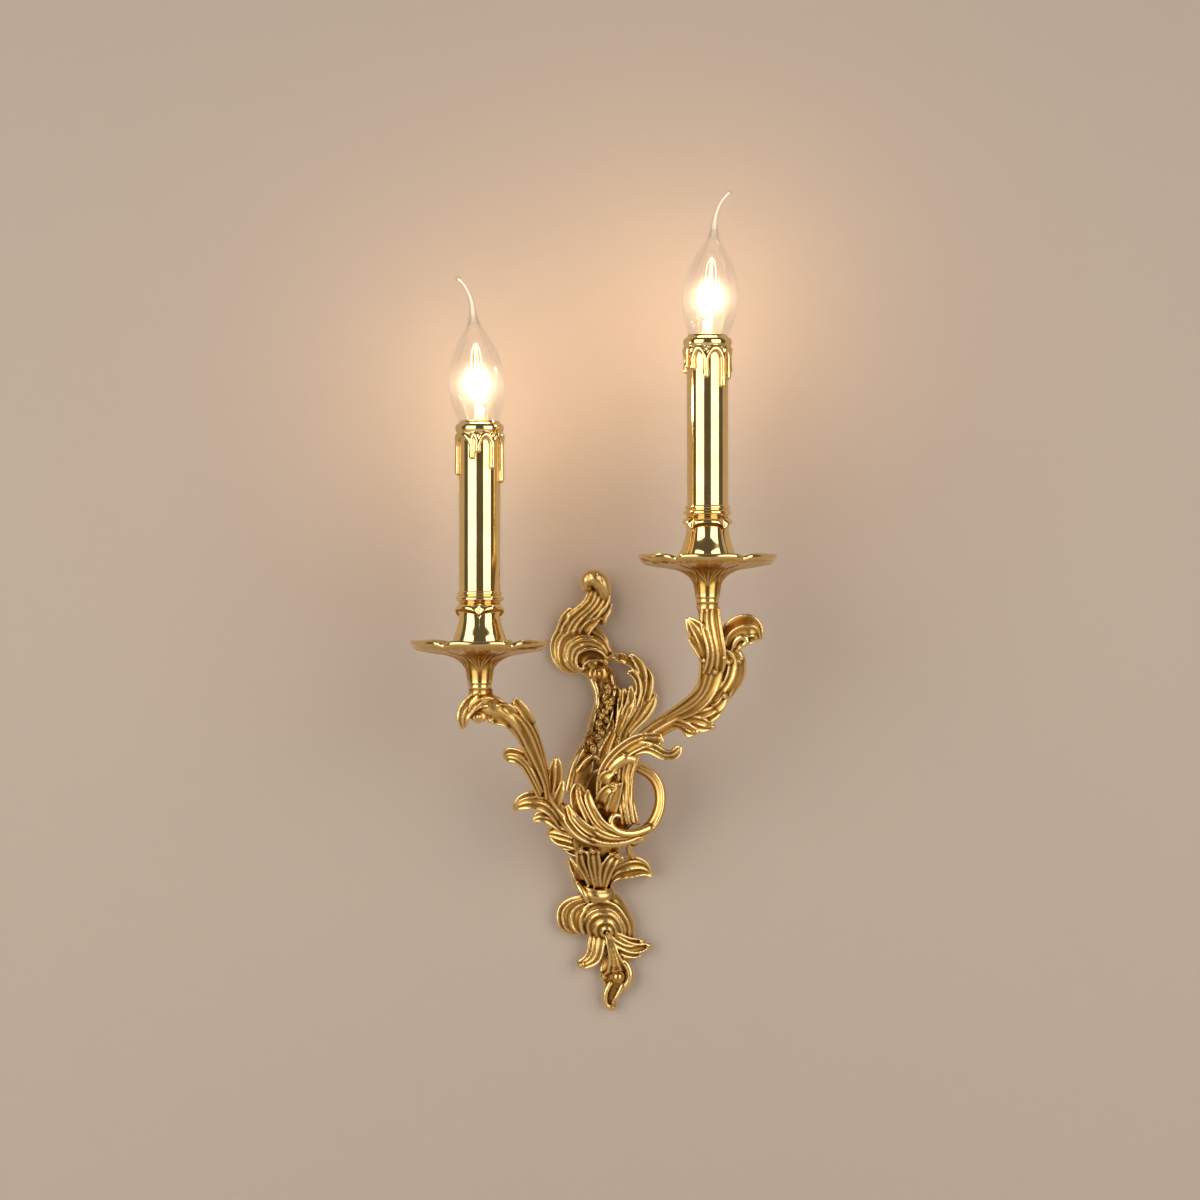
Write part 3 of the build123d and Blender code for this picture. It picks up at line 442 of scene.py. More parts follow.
plate = [
    # hook and neck at the top
    strand([(-2, 145, 8.5), (-2.6, 151.4, 11.5), (-4.8, 156, 13), (-8.8, 158.4, 13.4), (-12.2, 157, 12.5),
            (-13, 154.4, 11.4)], [3.6, 5, 5.9, 5.9, 5.5, 4.6]),
    blade([(-34, 118, 5), (-31, 129, 6), (-22, 138, 8), (-15.5, 143.5, 9.5), (-12.6, 149, 11),
           (-11.5, 155, 11.5)],
          [(-16, 121, 8), (-9, 131, 10), (-2, 138, 11), (1.2, 145, 11.5), (0.8, 151.5, 12), (-2, 157, 12)],
          (0, 0.16, 0.4, 0.6, 0.82, 1), rib=1.6, crown=0.08),
    finger([(-6, 129, 8.5), (-1, 137, 11), (2.6, 142.6, 10.5)], [6, 5, 1.6]),
    finger([(-16, 122, 8.5), (-10, 129.5, 11), (-4.4, 133.2, 10.5)], [6, 5, 1.6]),
    finger([(-30, 127, 6), (-27, 134, 8), (-23.6, 139.6, 7.5)], [5, 4.4, 1.5]),
    # shell round the upper nut
    blade([(-16, 96.5, 5), (-26, 97.5, 5), (-33, 103, 5), (-36, 112, 5), (-34, 122, 5), (-27, 128, 5.5),
           (-15, 129.5, 6), (-6, 126, 6.5), (0, 118, 7), (3, 110, 7)],
          [(-14, 98.5, 9), (-17, 99.5, 10), (-19.5, 102, 11), (-20, 106, 11.5), (-18.5, 110, 12),
           (-15.5, 112, 12.5), (-10, 113, 12.5), (-5, 111.5, 12), (-2, 109, 11), (-0.5, 107, 10)],
          (0, 0.14, 0.27, 0.54, 0.66, 0.84, 1), rib=1.8, crown=0.05, rim=1.1),
    bead(-10, 104, 2.5, 11, 9.5, 4),
    strand([(-16.5, 100.5, 8.5), (-12.5, 105, 9.5), (-6, 106, 9.5), (0, 104, 9)], [1.1] * 4),
    # stem down to the hub: a plain rounded band on the left, a bed for the garland beside it
    blade([(-12, 96, 5), (-9.5, 91, 6), (-8.2, 85, 6.5), (-8, 78, 7), (-9.5, 73, 8), (-11.5, 65, 10),
           (-14.5, 55, 14), (-20, 45, 18), (-25, 33, 20), (-28, 20, 20)],
          [(1, 101, 5), (4, 95, 6), (4.5, 88, 6.5), (4.2, 80, 7), (3, 70, 8), (0, 62, 10), (-4, 54, 15),
           (-8, 47, 20), (-10, 38, 23), (-12, 25, 24)], 1, rib=0.2, crown=0.12),
    strand([(-9.6, 93, 6), (-6.7, 85, 7), (-6.6, 77, 7.5), (-8.2, 70, 9), (-9.9, 63, 11), (-12.7, 54, 15.5),
            (-18, 45, 18.5), (-24.6, 24, 20.5)], [2.4, 2.1, 2, 2.1, 2.3, 2.7, 3.2, 3.6]),
    strand([(2.5, 96, 7), (3.9, 88, 7.6), (3.7, 80, 8.1), (2.5, 70, 9.4), (-0.6, 62, 11.6), (-4.8, 54, 17),
            (-9, 47, 21.5)], [1.2, 1, 1, 1, 1.1, 1.3, 1.6]),
    bead(-6.4, 97.2, 3.2, 7.6, 7.4, 6.2),
    strand([(-21, 32, 20), (-15, 40, 23), (-9, 44.5, 24), (-6, 43, 24)], [2.4, 2.2, 2, 1.6]),
    # side leaf: a fluted fan that curls over at the top
    blade([(6.4, 54, 8), (9, 62.4, 7.6), (14.3, 69.5, 8.8), (19, 78, 10), (21.3, 87, 10.8),
           (20.2, 94.5, 11), (16, 100.6, 11), (10.4, 104.2, 10.6), (5.4, 105.2, 10)],
          [(10.4, 53, 8), (16.4, 61, 6.4), (24.3, 71.7, 5.6), (28.9, 80.6, 6), (28.8, 88, 6.2),
           (27, 95.8, 6.8), (22.6, 102, 7.6), (16, 107.6, 8.6), (7, 110.4, 9.2)], (0, 0.32, 0.64, 1),
          rib=1.7),
    bead(4, 107.6, 9.5, 3.4, 3.2, 3.6),
    blade([(5.8, 54.6, 8.4), (7.8, 62.4, 8), (12, 70, 9.2), (16, 78, 10.6), (18.4, 86, 11.4),
           (18, 91.4, 11.6), (16, 95.2, 11.2), (12.7, 97.6, 10.6)],
          [(7.6, 54, 8.4), (10.8, 62, 8), (15.4, 69.4, 9.2), (20, 78, 10.4), (22, 87, 11), (21, 93.2, 11),
           (17.8, 98, 10.8), (13.4, 99.2, 10.4)], 1, rib=1.3),
    blade([(-7.5, 39, 14), (-5.6, 48, 12), (-1, 56, 9.4), (3.4, 63.4, 6.4)],
          [(16, 39, 15), (15.4, 48, 12), (14.4, 56, 8), (15, 63.4, 4.5)], (0, 0.3, 0.56, 0.8, 1), rib=0.9,
          crown=0.04, rim=0),
    strand([(5, 14, 22), (8.5, 30, 20), (10, 44, 9), (11, 54, 3), (12, 60, 2)], [5, 5.6, 6, 5.4, 4.6],
           flat=0.8),
    finger([(5.6, 55, 9), (8.4, 62.6, 8.6), (12.2, 71.4, 9.9), (15.2, 80, 11), (14.9, 89.4, 10.4)],
           [2.4, 3.4, 5, 5, 1.8]),
    finger([(5, 55, 9), (7.6, 63, 8.6), (10, 71, 9.6), (11.6, 79.4, 10.2), (10.6, 87.8, 9.6)],
           [2.4, 3.4, 4.6, 4.4, 1.8]),
    finger([(4, 55, 9), (6.6, 63, 8.4), (8, 69.4, 8.9), (8.4, 75.6, 9.2), (7.3, 81.4, 8.6)],
           [2.4, 3.2, 4, 3.8, 1.6]),
    finger([(3, 56, 8.6), (5.2, 64, 7.4), (5.6, 72, 7), (6, 82, 7.2), (6.6, 86.4, 7.6), (4.8, 88.4, 8)],
           [2.4, 3.2, 4, 3.8, 3.2, 2.4], curl=1.7),
    finger([(9.6, 54, 8), (16, 62, 7), (23.4, 71, 7.2), (28, 78.6, 7.4), (31, 84.6, 7)],
           [2.6, 4.8, 7, 6.4, 1.8], creases=2, rib=0.9, crown=0.1),
    finger([(24.6, 79, 8.6), (26.8, 88, 9), (27, 95, 8.8), (25.3, 101, 8.5)], [4, 4.6, 4.2, 1.4]),
    finger([(23, 89, 9.6), (22.6, 98, 10), (19.8, 104.6, 9.8), (15.2, 109.6, 9.5)], [4, 4.6, 4.2, 1.4]),
    # calyx below the hub
    blade([(-20, -38, 10), (-18.5, -28, 14), (-19.5, -19, 19), (-22, -10, 24), (-20, -3, 27)],
          [(1, -38, 10), (2, -28, 14), (5, -20, 19), (10, -11, 24), (14, 1, 27)], 1, rib=0.2, crown=0.12,
          rim=0, dive=0.0),
    *calyx,
    *calyx_curls,
    blade([(-3, -40, 12), (0, -31, 16), (6, -24, 18), (13, -20.5, 18), (20, -20.8, 16), (26, -25, 14),
           (28.7, -33, 12)],
          [(1, -41, 12), (4, -36, 15), (9, -33.5, 16), (15, -33, 15), (21, -31.8, 14), (25, -32, 13),
           (28.2, -34.2, 12)], (0, 0.24, 0.6, 1), rib=1.7),
    blade([(-14, -7, 24), (-25, -2.5, 22), (-31, -0.6, 20), (-36, -0.8, 18), (-38.8, -4.5, 16)],
          [(-14, -18, 22), (-22, -14, 20), (-28, -12.5, 18), (-34, -10.3, 16), (-38.4, -6, 15)],
          (0, 0.4, 0.7, 1), rib=1.7),
    finger([(-20, -12, 20), (-27, -13, 17), (-32.4, -10.8, 15)], [4.4, 4.2, 2]),
    finger([(-16, -18, 19), (-22, -16.6, 17), (-28, -14.4, 15)], [4.4, 4, 2]),
    finger([(-17, -37, 14), (-20.5, -29, 17), (-24.4, -21, 15)], [4.4, 5, 1.5]),
    strand([(21, -7, 30), (15.5, -11, 27), (14, -15, 24), (16, -19.5, 19)], [3.2, 2.8, 2.4, 2]),
    # knot: a smooth wrapped band with its folded edge on the left
    bead(-8, -42, 4, 11.5, 10, 11),
    bead(-8, -53, 3, 10, 9, 9),
    blade([(-19.5, -37, 12), (-12, -40.5, 17), (-4, -42, 17), (2.8, -41, 12.5)],
          [(-14.5, -46.5, 14), (-9, -48, 17), (-2, -48, 16.5), (4.6, -46, 12.5)], 1, rib=0.2, crown=0.22,
          dive=0.0),
    strand([(-20.2, -35.6, 12), (-18.4, -39, 15), (-14.8, -44, 17), (-13, -48.4, 15.5)],
           [2.2, 2.3, 2, 1.5]),
    # lower shell: a round lobe on the left, a fluted swirl and a plain band on the right
    blade([(-11, -45, 12), (-22, -47, 9), (-30, -53, 5.5), (-31.4, -61, 5), (-27.6, -68, 5),
           (-20, -70.5, 5.5)],
          [(-8, -51, 14), (-12, -53.5, 13.5), (-15.6, -57, 13), (-17, -61.5, 12), (-16.6, -66, 11),
           (-15.5, -69.5, 10)], (0, 0.24, 0.62, 1), rib=1.7, crown=0.1, rim=1.3),
    blade([(-16.5, -70.5, 6), (-18.8, -62, 9), (-15.6, -54, 12.5), (-7, -49.2, 15), (3, -50, 14.5),
           (10.4, -57.4, 12.5), (14, -66, 9.5), (13.2, -74, 7)],
          [(-3, -71.4, 11), (-3.4, -69, 12.5), (-2.6, -67, 13.5), (-0.8, -66, 14), (1, -66.4, 14),
           (2.2, -67.8, 13.5), (2.4, -69.6, 12.5), (1.6, -71.4, 11)], (0, 0.26, 0.44, 0.76, 1), rib=2.2,
          crown=0.1, rim=1.1, dive=0.5),
    blade([(2, -42, 12), (9, -48.5, 9.5), (14.5, -58, 7.5), (17, -67, 6), (15.5, -75.5, 5.5)],
          [(-6, -46, 14), (3, -50, 13.5), (9.6, -57, 12), (13.2, -65.5, 9.5), (13.2, -73, 8)], 1, rib=0.2,
          crown=0.14, dive=0.0),
    bead(-0.4, -68.6, 8, 3.2, 3, 5.4),
    # tail leaves
    bead(-1, -75, 2, 10, 9, 6),
    finger([(0.6, -68.4, 13), (8, -73, 11), (16, -75.6, 8.6), (22, -74.8, 6.4)], [2.6, 5, 5, 2], curl=1.5),
    finger([(0.6, -69.6, 12.5), (10, -77, 10), (19.4, -79.6, 7.8), (27, -77.8, 5.8)], [3, 6, 5.4, 2.6],
           curl=2.0),
    finger([(1, -73, 10), (8, -79.5, 8.5), (15, -83.2, 6.5), (20.6, -84.6, 5)], [5, 5.6, 4.8, 2], curl=1.6),
    blade([(-10.5, -69, 9), (-11.9, -76, 9), (-13.4, -83.4, 8), (-19.4, -88.4, 6.5)],
          [(-1.6, -70, 10), (-2.6, -79, 10.5), (-5.6, -88, 9.5), (-15, -92.6, 7)], (0, 0.3, 0.64, 1),
          rib=1.4, crown=0.08),
    bead(-17.2, -90.2, 7.4, 2.4),
    blade([(-1.4, -69, 12.5), (0.4, -79, 11.5), (1.4, -88, 9.5), (0.6, -95, 7)],
          [(1.8, -69, 12.5), (5.2, -79, 11.5), (9, -87, 9.5), (12.4, -94, 7)], (0, 0.34, 0.66, 1), rib=0.9,
          crown=0.1),
    # tip round the lower nut
    blade([(0, -84, 5), (-4, -95, 5), (-1, -105, 5), (-1.5, -113, 4.5), (0.5, -119.3, 4)],
          [(8, -84, 5), (14.5, -95, 5), (11, -105, 5), (5.5, -112.5, 4.5), (4.8, -118.9, 4)], 1, rib=0.2,
          crown=0.1),
    bead(6.7, -97.2, 3, 7.2, 7.2, 6.2),
    strand([(6, -85, 7), (12, -90, 7.5), (14.2, -96, 7.5), (13, -102, 7), (10.5, -106, 6.5)],
           [2.2, 2.7, 2.8, 2.5, 1.8]),
    strand([(1.4, -85, 9), (1.6, -90, 8.4), (0.4, -94.5, 7)], [1.5, 1.6, 1.3]),
    bead(-2.5, -97.5, 5.5, 2.6, 3, 3),
    strand([(2, -102, 7), (-1, -108, 7), (-1.2, -114, 6), (1, -118.6, 5)], [1.8, 1.7, 1.6, 1.5]),
    strand([(10, -103, 7), (7.5, -108, 7), (4.8, -112.6, 6), (3.6, -114.4, 5)], [1.8, 1.7, 1.5, 1.2]),
    bead(3.4, -117.4, 5, 2.6, 2.6, 3.4),
]
hub = [hull_outline(np.concatenate([round_outline(x, z, r - inset) for x, z, r in hub_circles]))
       for inset in (0.0, hub_wall)]
plate.append(prism(hub[0], 0, hub_out))
plate_cuts = [
    prism(wall_side, -wall_depth, 0),
    prism(hub[1], -over_cut, pocket_out),
    prism(terminal_pocket, -over_cut, terminal_pocket_out),
]
for x, z in (upper_stud, lower_stud):
    plate_cuts.append(prism(round_outline(x, z, stud_hole_r), -over_cut, hub_out))
    plate_cuts.append(prism(round_outline(x, z, nut_seat_r), nut_seat_out, hub_out))
back_plate = cast("back_plate_casting", plate, grain=0.55, cuts=plate_cuts)
# The hub's flat front at hub_out, seen between the leaves, is darkened as painted shade.
note_wear_and_shade(back_plate, ground_out=hub_out)
# The plate's gilt is set darker than the arms' as painted shade, the plate lying closer to the wall.
plate_finish = gilt_brass("plate_gilt", dullness=1.0, light=0.88)
back_plate.data.materials.append(plate_finish)
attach(back_plate, "fixture")
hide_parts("back_plate")

# Garland
# Small flowers and leaves in relief down the stem of the plate, cast with it and chased by hand.
garland_line = [(-0.8, 88.5, 8.6), (-0.4, 85, 9.0), (-0.5, 78, 9.6), (-1.2, 71, 11), (-4.2, 63, 13.4),
                (-8.2, 56, 16.8), (-12, 50, 20)]
garland_spread = (2.8, 0.3, 0.8)
smallest_share = 0.85
largest_share = 1.5


def new_tree(name, inputs):
    """An empty geometry-nodes tree with named inputs, its two makers and the node of its inputs."""
    tree = bpy.data.node_groups.new(name, "GeometryNodeTree")
    tree.interface.new_socket("Geometry", in_out="OUTPUT", socket_type="NodeSocketGeometry")
    for label, kind in inputs.items():
        tree.interface.new_socket(label, in_out="INPUT", socket_type=f"NodeSocket{kind}")
    return tree, tree.nodes.new, tree.links.new, tree.nodes.new("NodeGroupInput")


def send_out(make, link, given, geometry):
    """End a tree: its geometry gets the finish and goes out."""
    coat = make("GeometryNodeSetMaterial")
    link(geometry, coat.inputs["Geometry"])
    link(given.outputs["Finish"], coat.inputs["Material"])
    link(coat.outputs["Geometry"], make("NodeGroupOutput").inputs["Geometry"])


def strew_tree():
    """Geometry nodes that strew a small casting along a line, turned and sized at random."""
    tree, make, link, given = new_tree("strew_along", {
        "Casting": "Geometry", "Line": "Object", "Count": "Int", "Spread": "Vector", "Seed": "Int",
        "Finish": "Material",
    })
    line = make("GeometryNodeObjectInfo")
    link(given.outputs["Line"], line.inputs["Object"])
    spaced = make("GeometryNodeResampleCurve")
    spaced.mode = "COUNT"
    link(line.outputs["Geometry"], spaced.inputs["Curve"])
    link(given.outputs["Count"], spaced.inputs["Count"])
    astray = make("FunctionNodeRandomValue")
    astray.data_type = "FLOAT_VECTOR"
    opposite = make("ShaderNodeVectorMath")
    opposite.operation = "SCALE"
    opposite.inputs["Scale"].default_value = -1.0
    link(given.outputs["Spread"], opposite.inputs[0])
    link(opposite.outputs["Vector"], astray.inputs[0])
    link(given.outputs["Spread"], astray.inputs[1])
    spin = make("FunctionNodeRandomValue")
    spin.inputs[2].default_value = -math.pi
    spin.inputs[3].default_value = math.pi
    size = make("FunctionNodeRandomValue")
    size.inputs[2].default_value = smallest_share
    size.inputs[3].default_value = largest_share
    for chance in (astray, spin, size):
        link(given.outputs["Seed"], chance.inputs["Seed"])
    moved = make("GeometryNodeSetPosition")
    link(spaced.outputs["Curve"], moved.inputs["Geometry"])
    link(astray.outputs[0], moved.inputs["Offset"])
    angle = make("ShaderNodeCombineXYZ")
    link(spin.outputs[1], angle.inputs["Y"])
    turn = make("FunctionNodeEulerToRotation")
    link(angle.outputs["Vector"], turn.inputs["Euler"])
    copies = make("GeometryNodeInstanceOnPoints")
    link(moved.outputs["Geometry"], copies.inputs["Points"])
    link(given.outputs["Casting"], copies.inputs["Instance"])
    link(turn.outputs["Rotation"], copies.inputs["Rotation"])
    link(size.outputs[1], copies.inputs["Scale"])
    real = make("GeometryNodeRealizeInstances")
    link(copies.outputs["Instances"], real.inputs["Geometry"])
    send_out(make, link, given, real.outputs["Geometry"])
    return tree


def set_inputs(modifier, values):
    """Give a geometry-nodes modifier its tree's inputs by name."""
    for socket in modifier.node_group.interface.items_tree:
        if socket.in_out == "INPUT" and socket.name in values:
            modifier[socket.identifier] = values[socket.name]


flower_petals = 5
petal_ring_r = 1.9
petal_turns = np.arange(flower_petals) * 2 * math.pi / flower_petals
flower = [bead(petal_ring_r * math.cos(turn), petal_ring_r * math.sin(turn), 0.3, 1.4, 1.4, 1.1)
          for turn in petal_turns]
flower.append(bead(0, 0, 0.8, 1.2))
leaflet = [finger([(-2.8, 0, -0.6), (0, 0.3, 1.2), (3.2, 0, 0.3)], [1.4, 3.6, 0.9], creases=2, rib=0.5,
                  crown=0.1, thick=1.2, rim=0.4, dive=0.3)]
line_curve = bpy.data.curves.new("garland_line", "CURVE")
line_curve.dimensions = "3D"
spline = line_curve.splines.new("POLY")
spline.points.add(len(garland_line) - 1)
for point, (x, z, out) in zip(spline.points, garland_line):
    point.co = (x * MM, -out * MM, z * MM, 1)
line_object = put("garland_line", line_curve)
strew_along = strew_tree()
for name, shapes, count, seed in (("stem_flowers", flower, 11, 4), ("stem_leaflets", leaflet, 15, 11)):
    relief = put(name, mesh_of(name, shapes))
    strew = relief.modifiers.new("strew", "NODES")
    strew.node_group = strew_along
    set_inputs(strew, {"Line": line_object, "Count": count, "Seed": seed, "Finish": plate_finish,
                       "Spread": tuple(reach * MM for reach in garland_spread)})
    settle(relief)
    relief.data.shade_smooth()
    note_wear_and_shade(relief, passes=1, gain=2.0)
    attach(relief, "fixture")
bpy.data.objects.remove(line_object)

# Left arm
# A gilded casting: a fluted stem that leaves the hub under a large C-shaped leaf, sweeps up and
# out with small leaves on its lower side, and ends in a beaded neck that carries the candle.
candle_out = 95.0
candles = {"left": (-78.8, 93.1), "right": (61.3, 145.9)}
eye = (-4.8, 144.5, 2000.0)
stem_read_at = 60.0
hub_read_at = 36.0
arm_root_r = 6.5
arm_root_out = 40.0


def sighted(places, read_at):
    """Places read off at one distance from the wall, moved along the line of sight to their own."""
    moved = []
    for x, z, out in places:
        share = (eye[2] - out) / (eye[2] - read_at)
        moved.append((eye[0] + (x - eye[0]) * share, eye[1] + (z - eye[1]) * share, out))
    return moved


def arm_blade(one_edge, other_edge, creases, rib=1.3, crown=0.14, thick=3.6, read_at=stem_read_at):
    """A blade of an arm, its edges read off at one distance from the wall."""
    return blade(sighted(one_edge, read_at), sighted(other_edge, read_at), creases, rib, crown, thick)


def arm_finger(spine, widths, read_at=stem_read_at, thick=3.2, curl=0.0):
    """A finger of a leaf of an arm, read off in the same way."""
    return finger(sighted(spine, read_at), widths, crown=0.1, thick=thick, curl=curl)


def arm_strand(places, radii, read_at=stem_read_at):
    """A rib of an arm, read off in the same way."""
    return strand(sighted(places, read_at), radii)


def neck(x, z):
    """The two beads under a candle, turned about its upright axis."""
    profile = [(0, 6.6), (-1, 7.3), (-2.6, 7.4), (-3.7, 6.3), (-4.8, 6.9), (-6.6, 7.0), (-8, 6.0),
               (-11, 5.6), (-16, 5.4)]
    return strand([(x, z + h, candle_out) for h, r in profile], [r for h, r in profile], sides=40)


left_arm_shapes = [
    strand([(17, -5, 37), (8, -7, 38), (-3, -6.5, 39), (-14, -2.5, 40), (-25, 5.5, 44), (-33.5, 15.5, 50),
            (-39.5, 28, 58), (-44.5, 42, 68), (-50, 57, 79), (-59.3, 70.6, 89.5), (-69.8, 76.1, 94),
            (-78.8, 77.6, 95)], [4, 5, 6, 6.6, 6.2, 5.2, 4.6, 4.7, 5.4, 6.2, 6.4, 5.6], flutes=8,
           depth=0.15),
    prism(round_outline(*hub_circles[0][:2], arm_root_r), hub_out, arm_root_out),
    # smooth end of the arm, its hooked nose and the lobes below it
    arm_blade([(-50, 56, 83), (-57, 73, 96), (-64, 79.5, 99), (-73, 84.5, 99), (-81, 83, 97)],
              [(-53, 51, 80), (-60, 63.6, 93.5), (-67, 69, 98), (-76, 71.6, 99.5), (-83, 74, 97)], 1,
              rib=0.2, crown=0.26),
    arm_blade([(-72, 88.5, 96), (-84, 85.6, 98.5), (-91.6, 78, 99), (-93.6, 70, 98.5), (-91, 63.6, 97)],
              [(-70, 78, 100), (-79, 77.4, 102.5), (-84.8, 73.6, 102.5), (-87.4, 69.4, 101.5),
               (-89, 64.6, 98)],
              (0, 0.6, 1), rib=1.2, crown=0.24, thick=5.0),
    bead(-79.2, 73.0, 98.5, 5.2, 4.4, 4.8),
    arm_finger([(-60.5, 65.6, 96), (-66, 68.8, 98.5), (-70.5, 69.4, 99.5), (-73.4, 69.2, 99)],
               [4, 4.8, 4.6, 2.8], curl=2.0),
    arm_finger([(-78, 84, 101), (-83.6, 79.6, 104), (-86, 74.4, 103.6)], [5, 4.6, 2]),
    # sheath along the stem, its tip lifting off near the top
    arm_blade([(-34.6, 18, 55), (-38, 38, 64.5), (-40.4, 49, 72), (-44.2, 61.5, 81), (-50, 71.4, 88),
               (-59.4, 81.4, 93.5)],
              [(-36.6, 20, 59.5), (-42, 34, 69.5), (-46.8, 44, 77.5), (-51.6, 53.6, 85.5),
               (-57, 63.6, 93.5), (-64, 70.4, 98.5)], (0, 0.28, 0.6, 1), rib=1.4, crown=0.2),
    arm_finger([(-47, 66, 88), (-53, 76, 94), (-58.6, 82.4, 95.5)], [4.6, 5, 3.4]),
    arm_finger([(-58, 72, 97), (-63.6, 77.6, 100.5), (-68.4, 78.4, 101)], [4.6, 4, 2], curl=1.6),
    # three leaves below the stem and a bud above it
    arm_blade([(-39, 27, 63), (-45.4, 41, 70.5), (-51.5, 48.6, 72), (-58, 51.4, 71), (-64.4, 50, 68),
               (-65.4, 46, 66)],
              [(-43, 19, 59), (-49.4, 33, 66), (-54, 40, 69), (-58, 43, 69.5), (-62, 43.8, 68),
               (-64.6, 45, 66)], (0, 0.4, 0.7, 1)),
    arm_blade([(-32, 14, 51), (-38.5, 22, 55), (-45, 24.6, 57), (-52, 23.2, 57), (-57.4, 19, 55.5),
               (-59.4, 13.4, 53.5)],
              [(-30, 2, 49), (-36.5, 9.6, 54), (-42, 12.8, 57), (-48.5, 14, 57.5), (-54.5, 13.6, 56),
               (-58.8, 12.4, 53.5)], (0, 0.3, 0.62, 1)),
    arm_blade([(-30, 4, 48), (-36.5, 10.4, 51.5), (-41, 12, 53), (-45, 10.4, 52.5), (-46.9, 6, 51.5)],
              [(-27, -2, 46), (-35, 3, 50.5), (-39.5, 5.6, 52), (-43.4, 6, 52), (-46.3, 5.2, 51.5)],
              (0, 0.5, 1)),
    arm_blade([(-38.5, 15, 52), (-38.4, 26, 57), (-36.9, 34, 61), (-35.9, 41, 64), (-33.7, 45.6, 65)],
              [(-32, 15, 51), (-29.4, 25, 56), (-28.8, 34, 60), (-29.2, 41, 63), (-31, 45.6, 65)],
              (0, 0.5, 1), crown=0.2),
    arm_finger([(-37.5, 20, 55), (-38.6, 29, 60), (-36.8, 36.6, 63)], [4.4, 4.6, 1.6]),
    arm_finger([(-33, 16, 54), (-29.6, 24, 58), (-28, 31, 60)], [4.4, 4.4, 1.6]),
    # C-shaped leaf in front of the hub
    arm_blade([(26, -3, 40), (14, -8.5, 43), (2, -9.8, 45), (-8, -7.5, 46.5), (-16, -1, 47.5),
               (-20.5, 8, 48), (-23.5, 18, 48), (-22, 26.5, 47), (-19.5, 29.4, 46.5)],
              [(24, -1, 41), (14, -3.5, 45), (6, -2.5, 48), (-1, 1, 50), (-6, 6, 51), (-9.5, 13, 51),
               (-13, 20, 50), (-16, 26, 48), (-18, 29, 46.8)], (0, 0.42, 0.66, 1), rib=1.9, crown=0.04,
              thick=5.0, read_at=hub_read_at),
    arm_blade([(4, -4, 47), (-4, 0.5, 49.5), (-10, 8, 51.5), (-13.5, 16, 52), (-14, 22, 51),
               (-12.6, 24.4, 50)],
              [(8, -2, 48), (0, 2.5, 50.5), (-5.5, 9, 52), (-8.8, 15, 52), (-10.8, 20.5, 51),
               (-11.6, 24, 50)],
              1, rib=1.2, crown=0.1, thick=4.0, read_at=hub_read_at),
    arm_strand([(26, 0, 40), (18, -3, 43), (10, -3.2, 46), (4.5, -0.8, 48), (2, 4, 49), (4.5, 8, 49),
                (8, 7.5, 48)],
               [2.6, 2.4, 2.2, 2.1, 2, 1.7, 1.2], read_at=hub_read_at),
    arm_finger([(-7, -8, 45), (-17, -3.6, 49), (-24.8, 5, 50.5), (-28.4, 17.4, 49.5)], [6, 5.6, 4.8, 1.6],
               read_at=hub_read_at),
    arm_finger([(-7, -6, 47), (-16, -0.6, 51), (-22.2, 7, 51.8), (-25.7, 15, 50.5)], [5, 4.8, 4.2, 1.6],
               read_at=hub_read_at),
    arm_finger([(-6, -4, 48), (-14, 0.4, 51.5), (-19.6, 6, 52), (-23, 11.4, 51)], [4.4, 4.2, 3.6, 1.6],
               read_at=hub_read_at),
    # ring that holds the arm to the right of the hub
    strand([(19, 38.5, 36), (27.3, 34, 36), (32.4, 26.5, 36), (33.6, 17, 36), (31.2, 7.6, 36),
            (25.5, -0.2, 36.4), (17, -5, 37)], [3.7, 3.9, 3.9, 3.9, 3.9, 3.9, 4]),
    strand([(19.5, 40, 38.6), (28.2, 35.6, 39), (33.8, 27.2, 39), (35, 17.5, 39), (32.6, 7, 39),
            (27, -1.4, 39.4), (20, -6, 40)], [1.4] * 7),
    neck(*candles["left"]),
]
arm_finish = gilt_brass("arm_gilt", dullness=1.0, light=0.97)
left_arm = cast("left_arm_casting", left_arm_shapes, grain=0.45)
note_wear_and_shade(left_arm)
left_arm.data.materials.append(arm_finish)
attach(left_arm, "fixture")
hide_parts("left_arm")

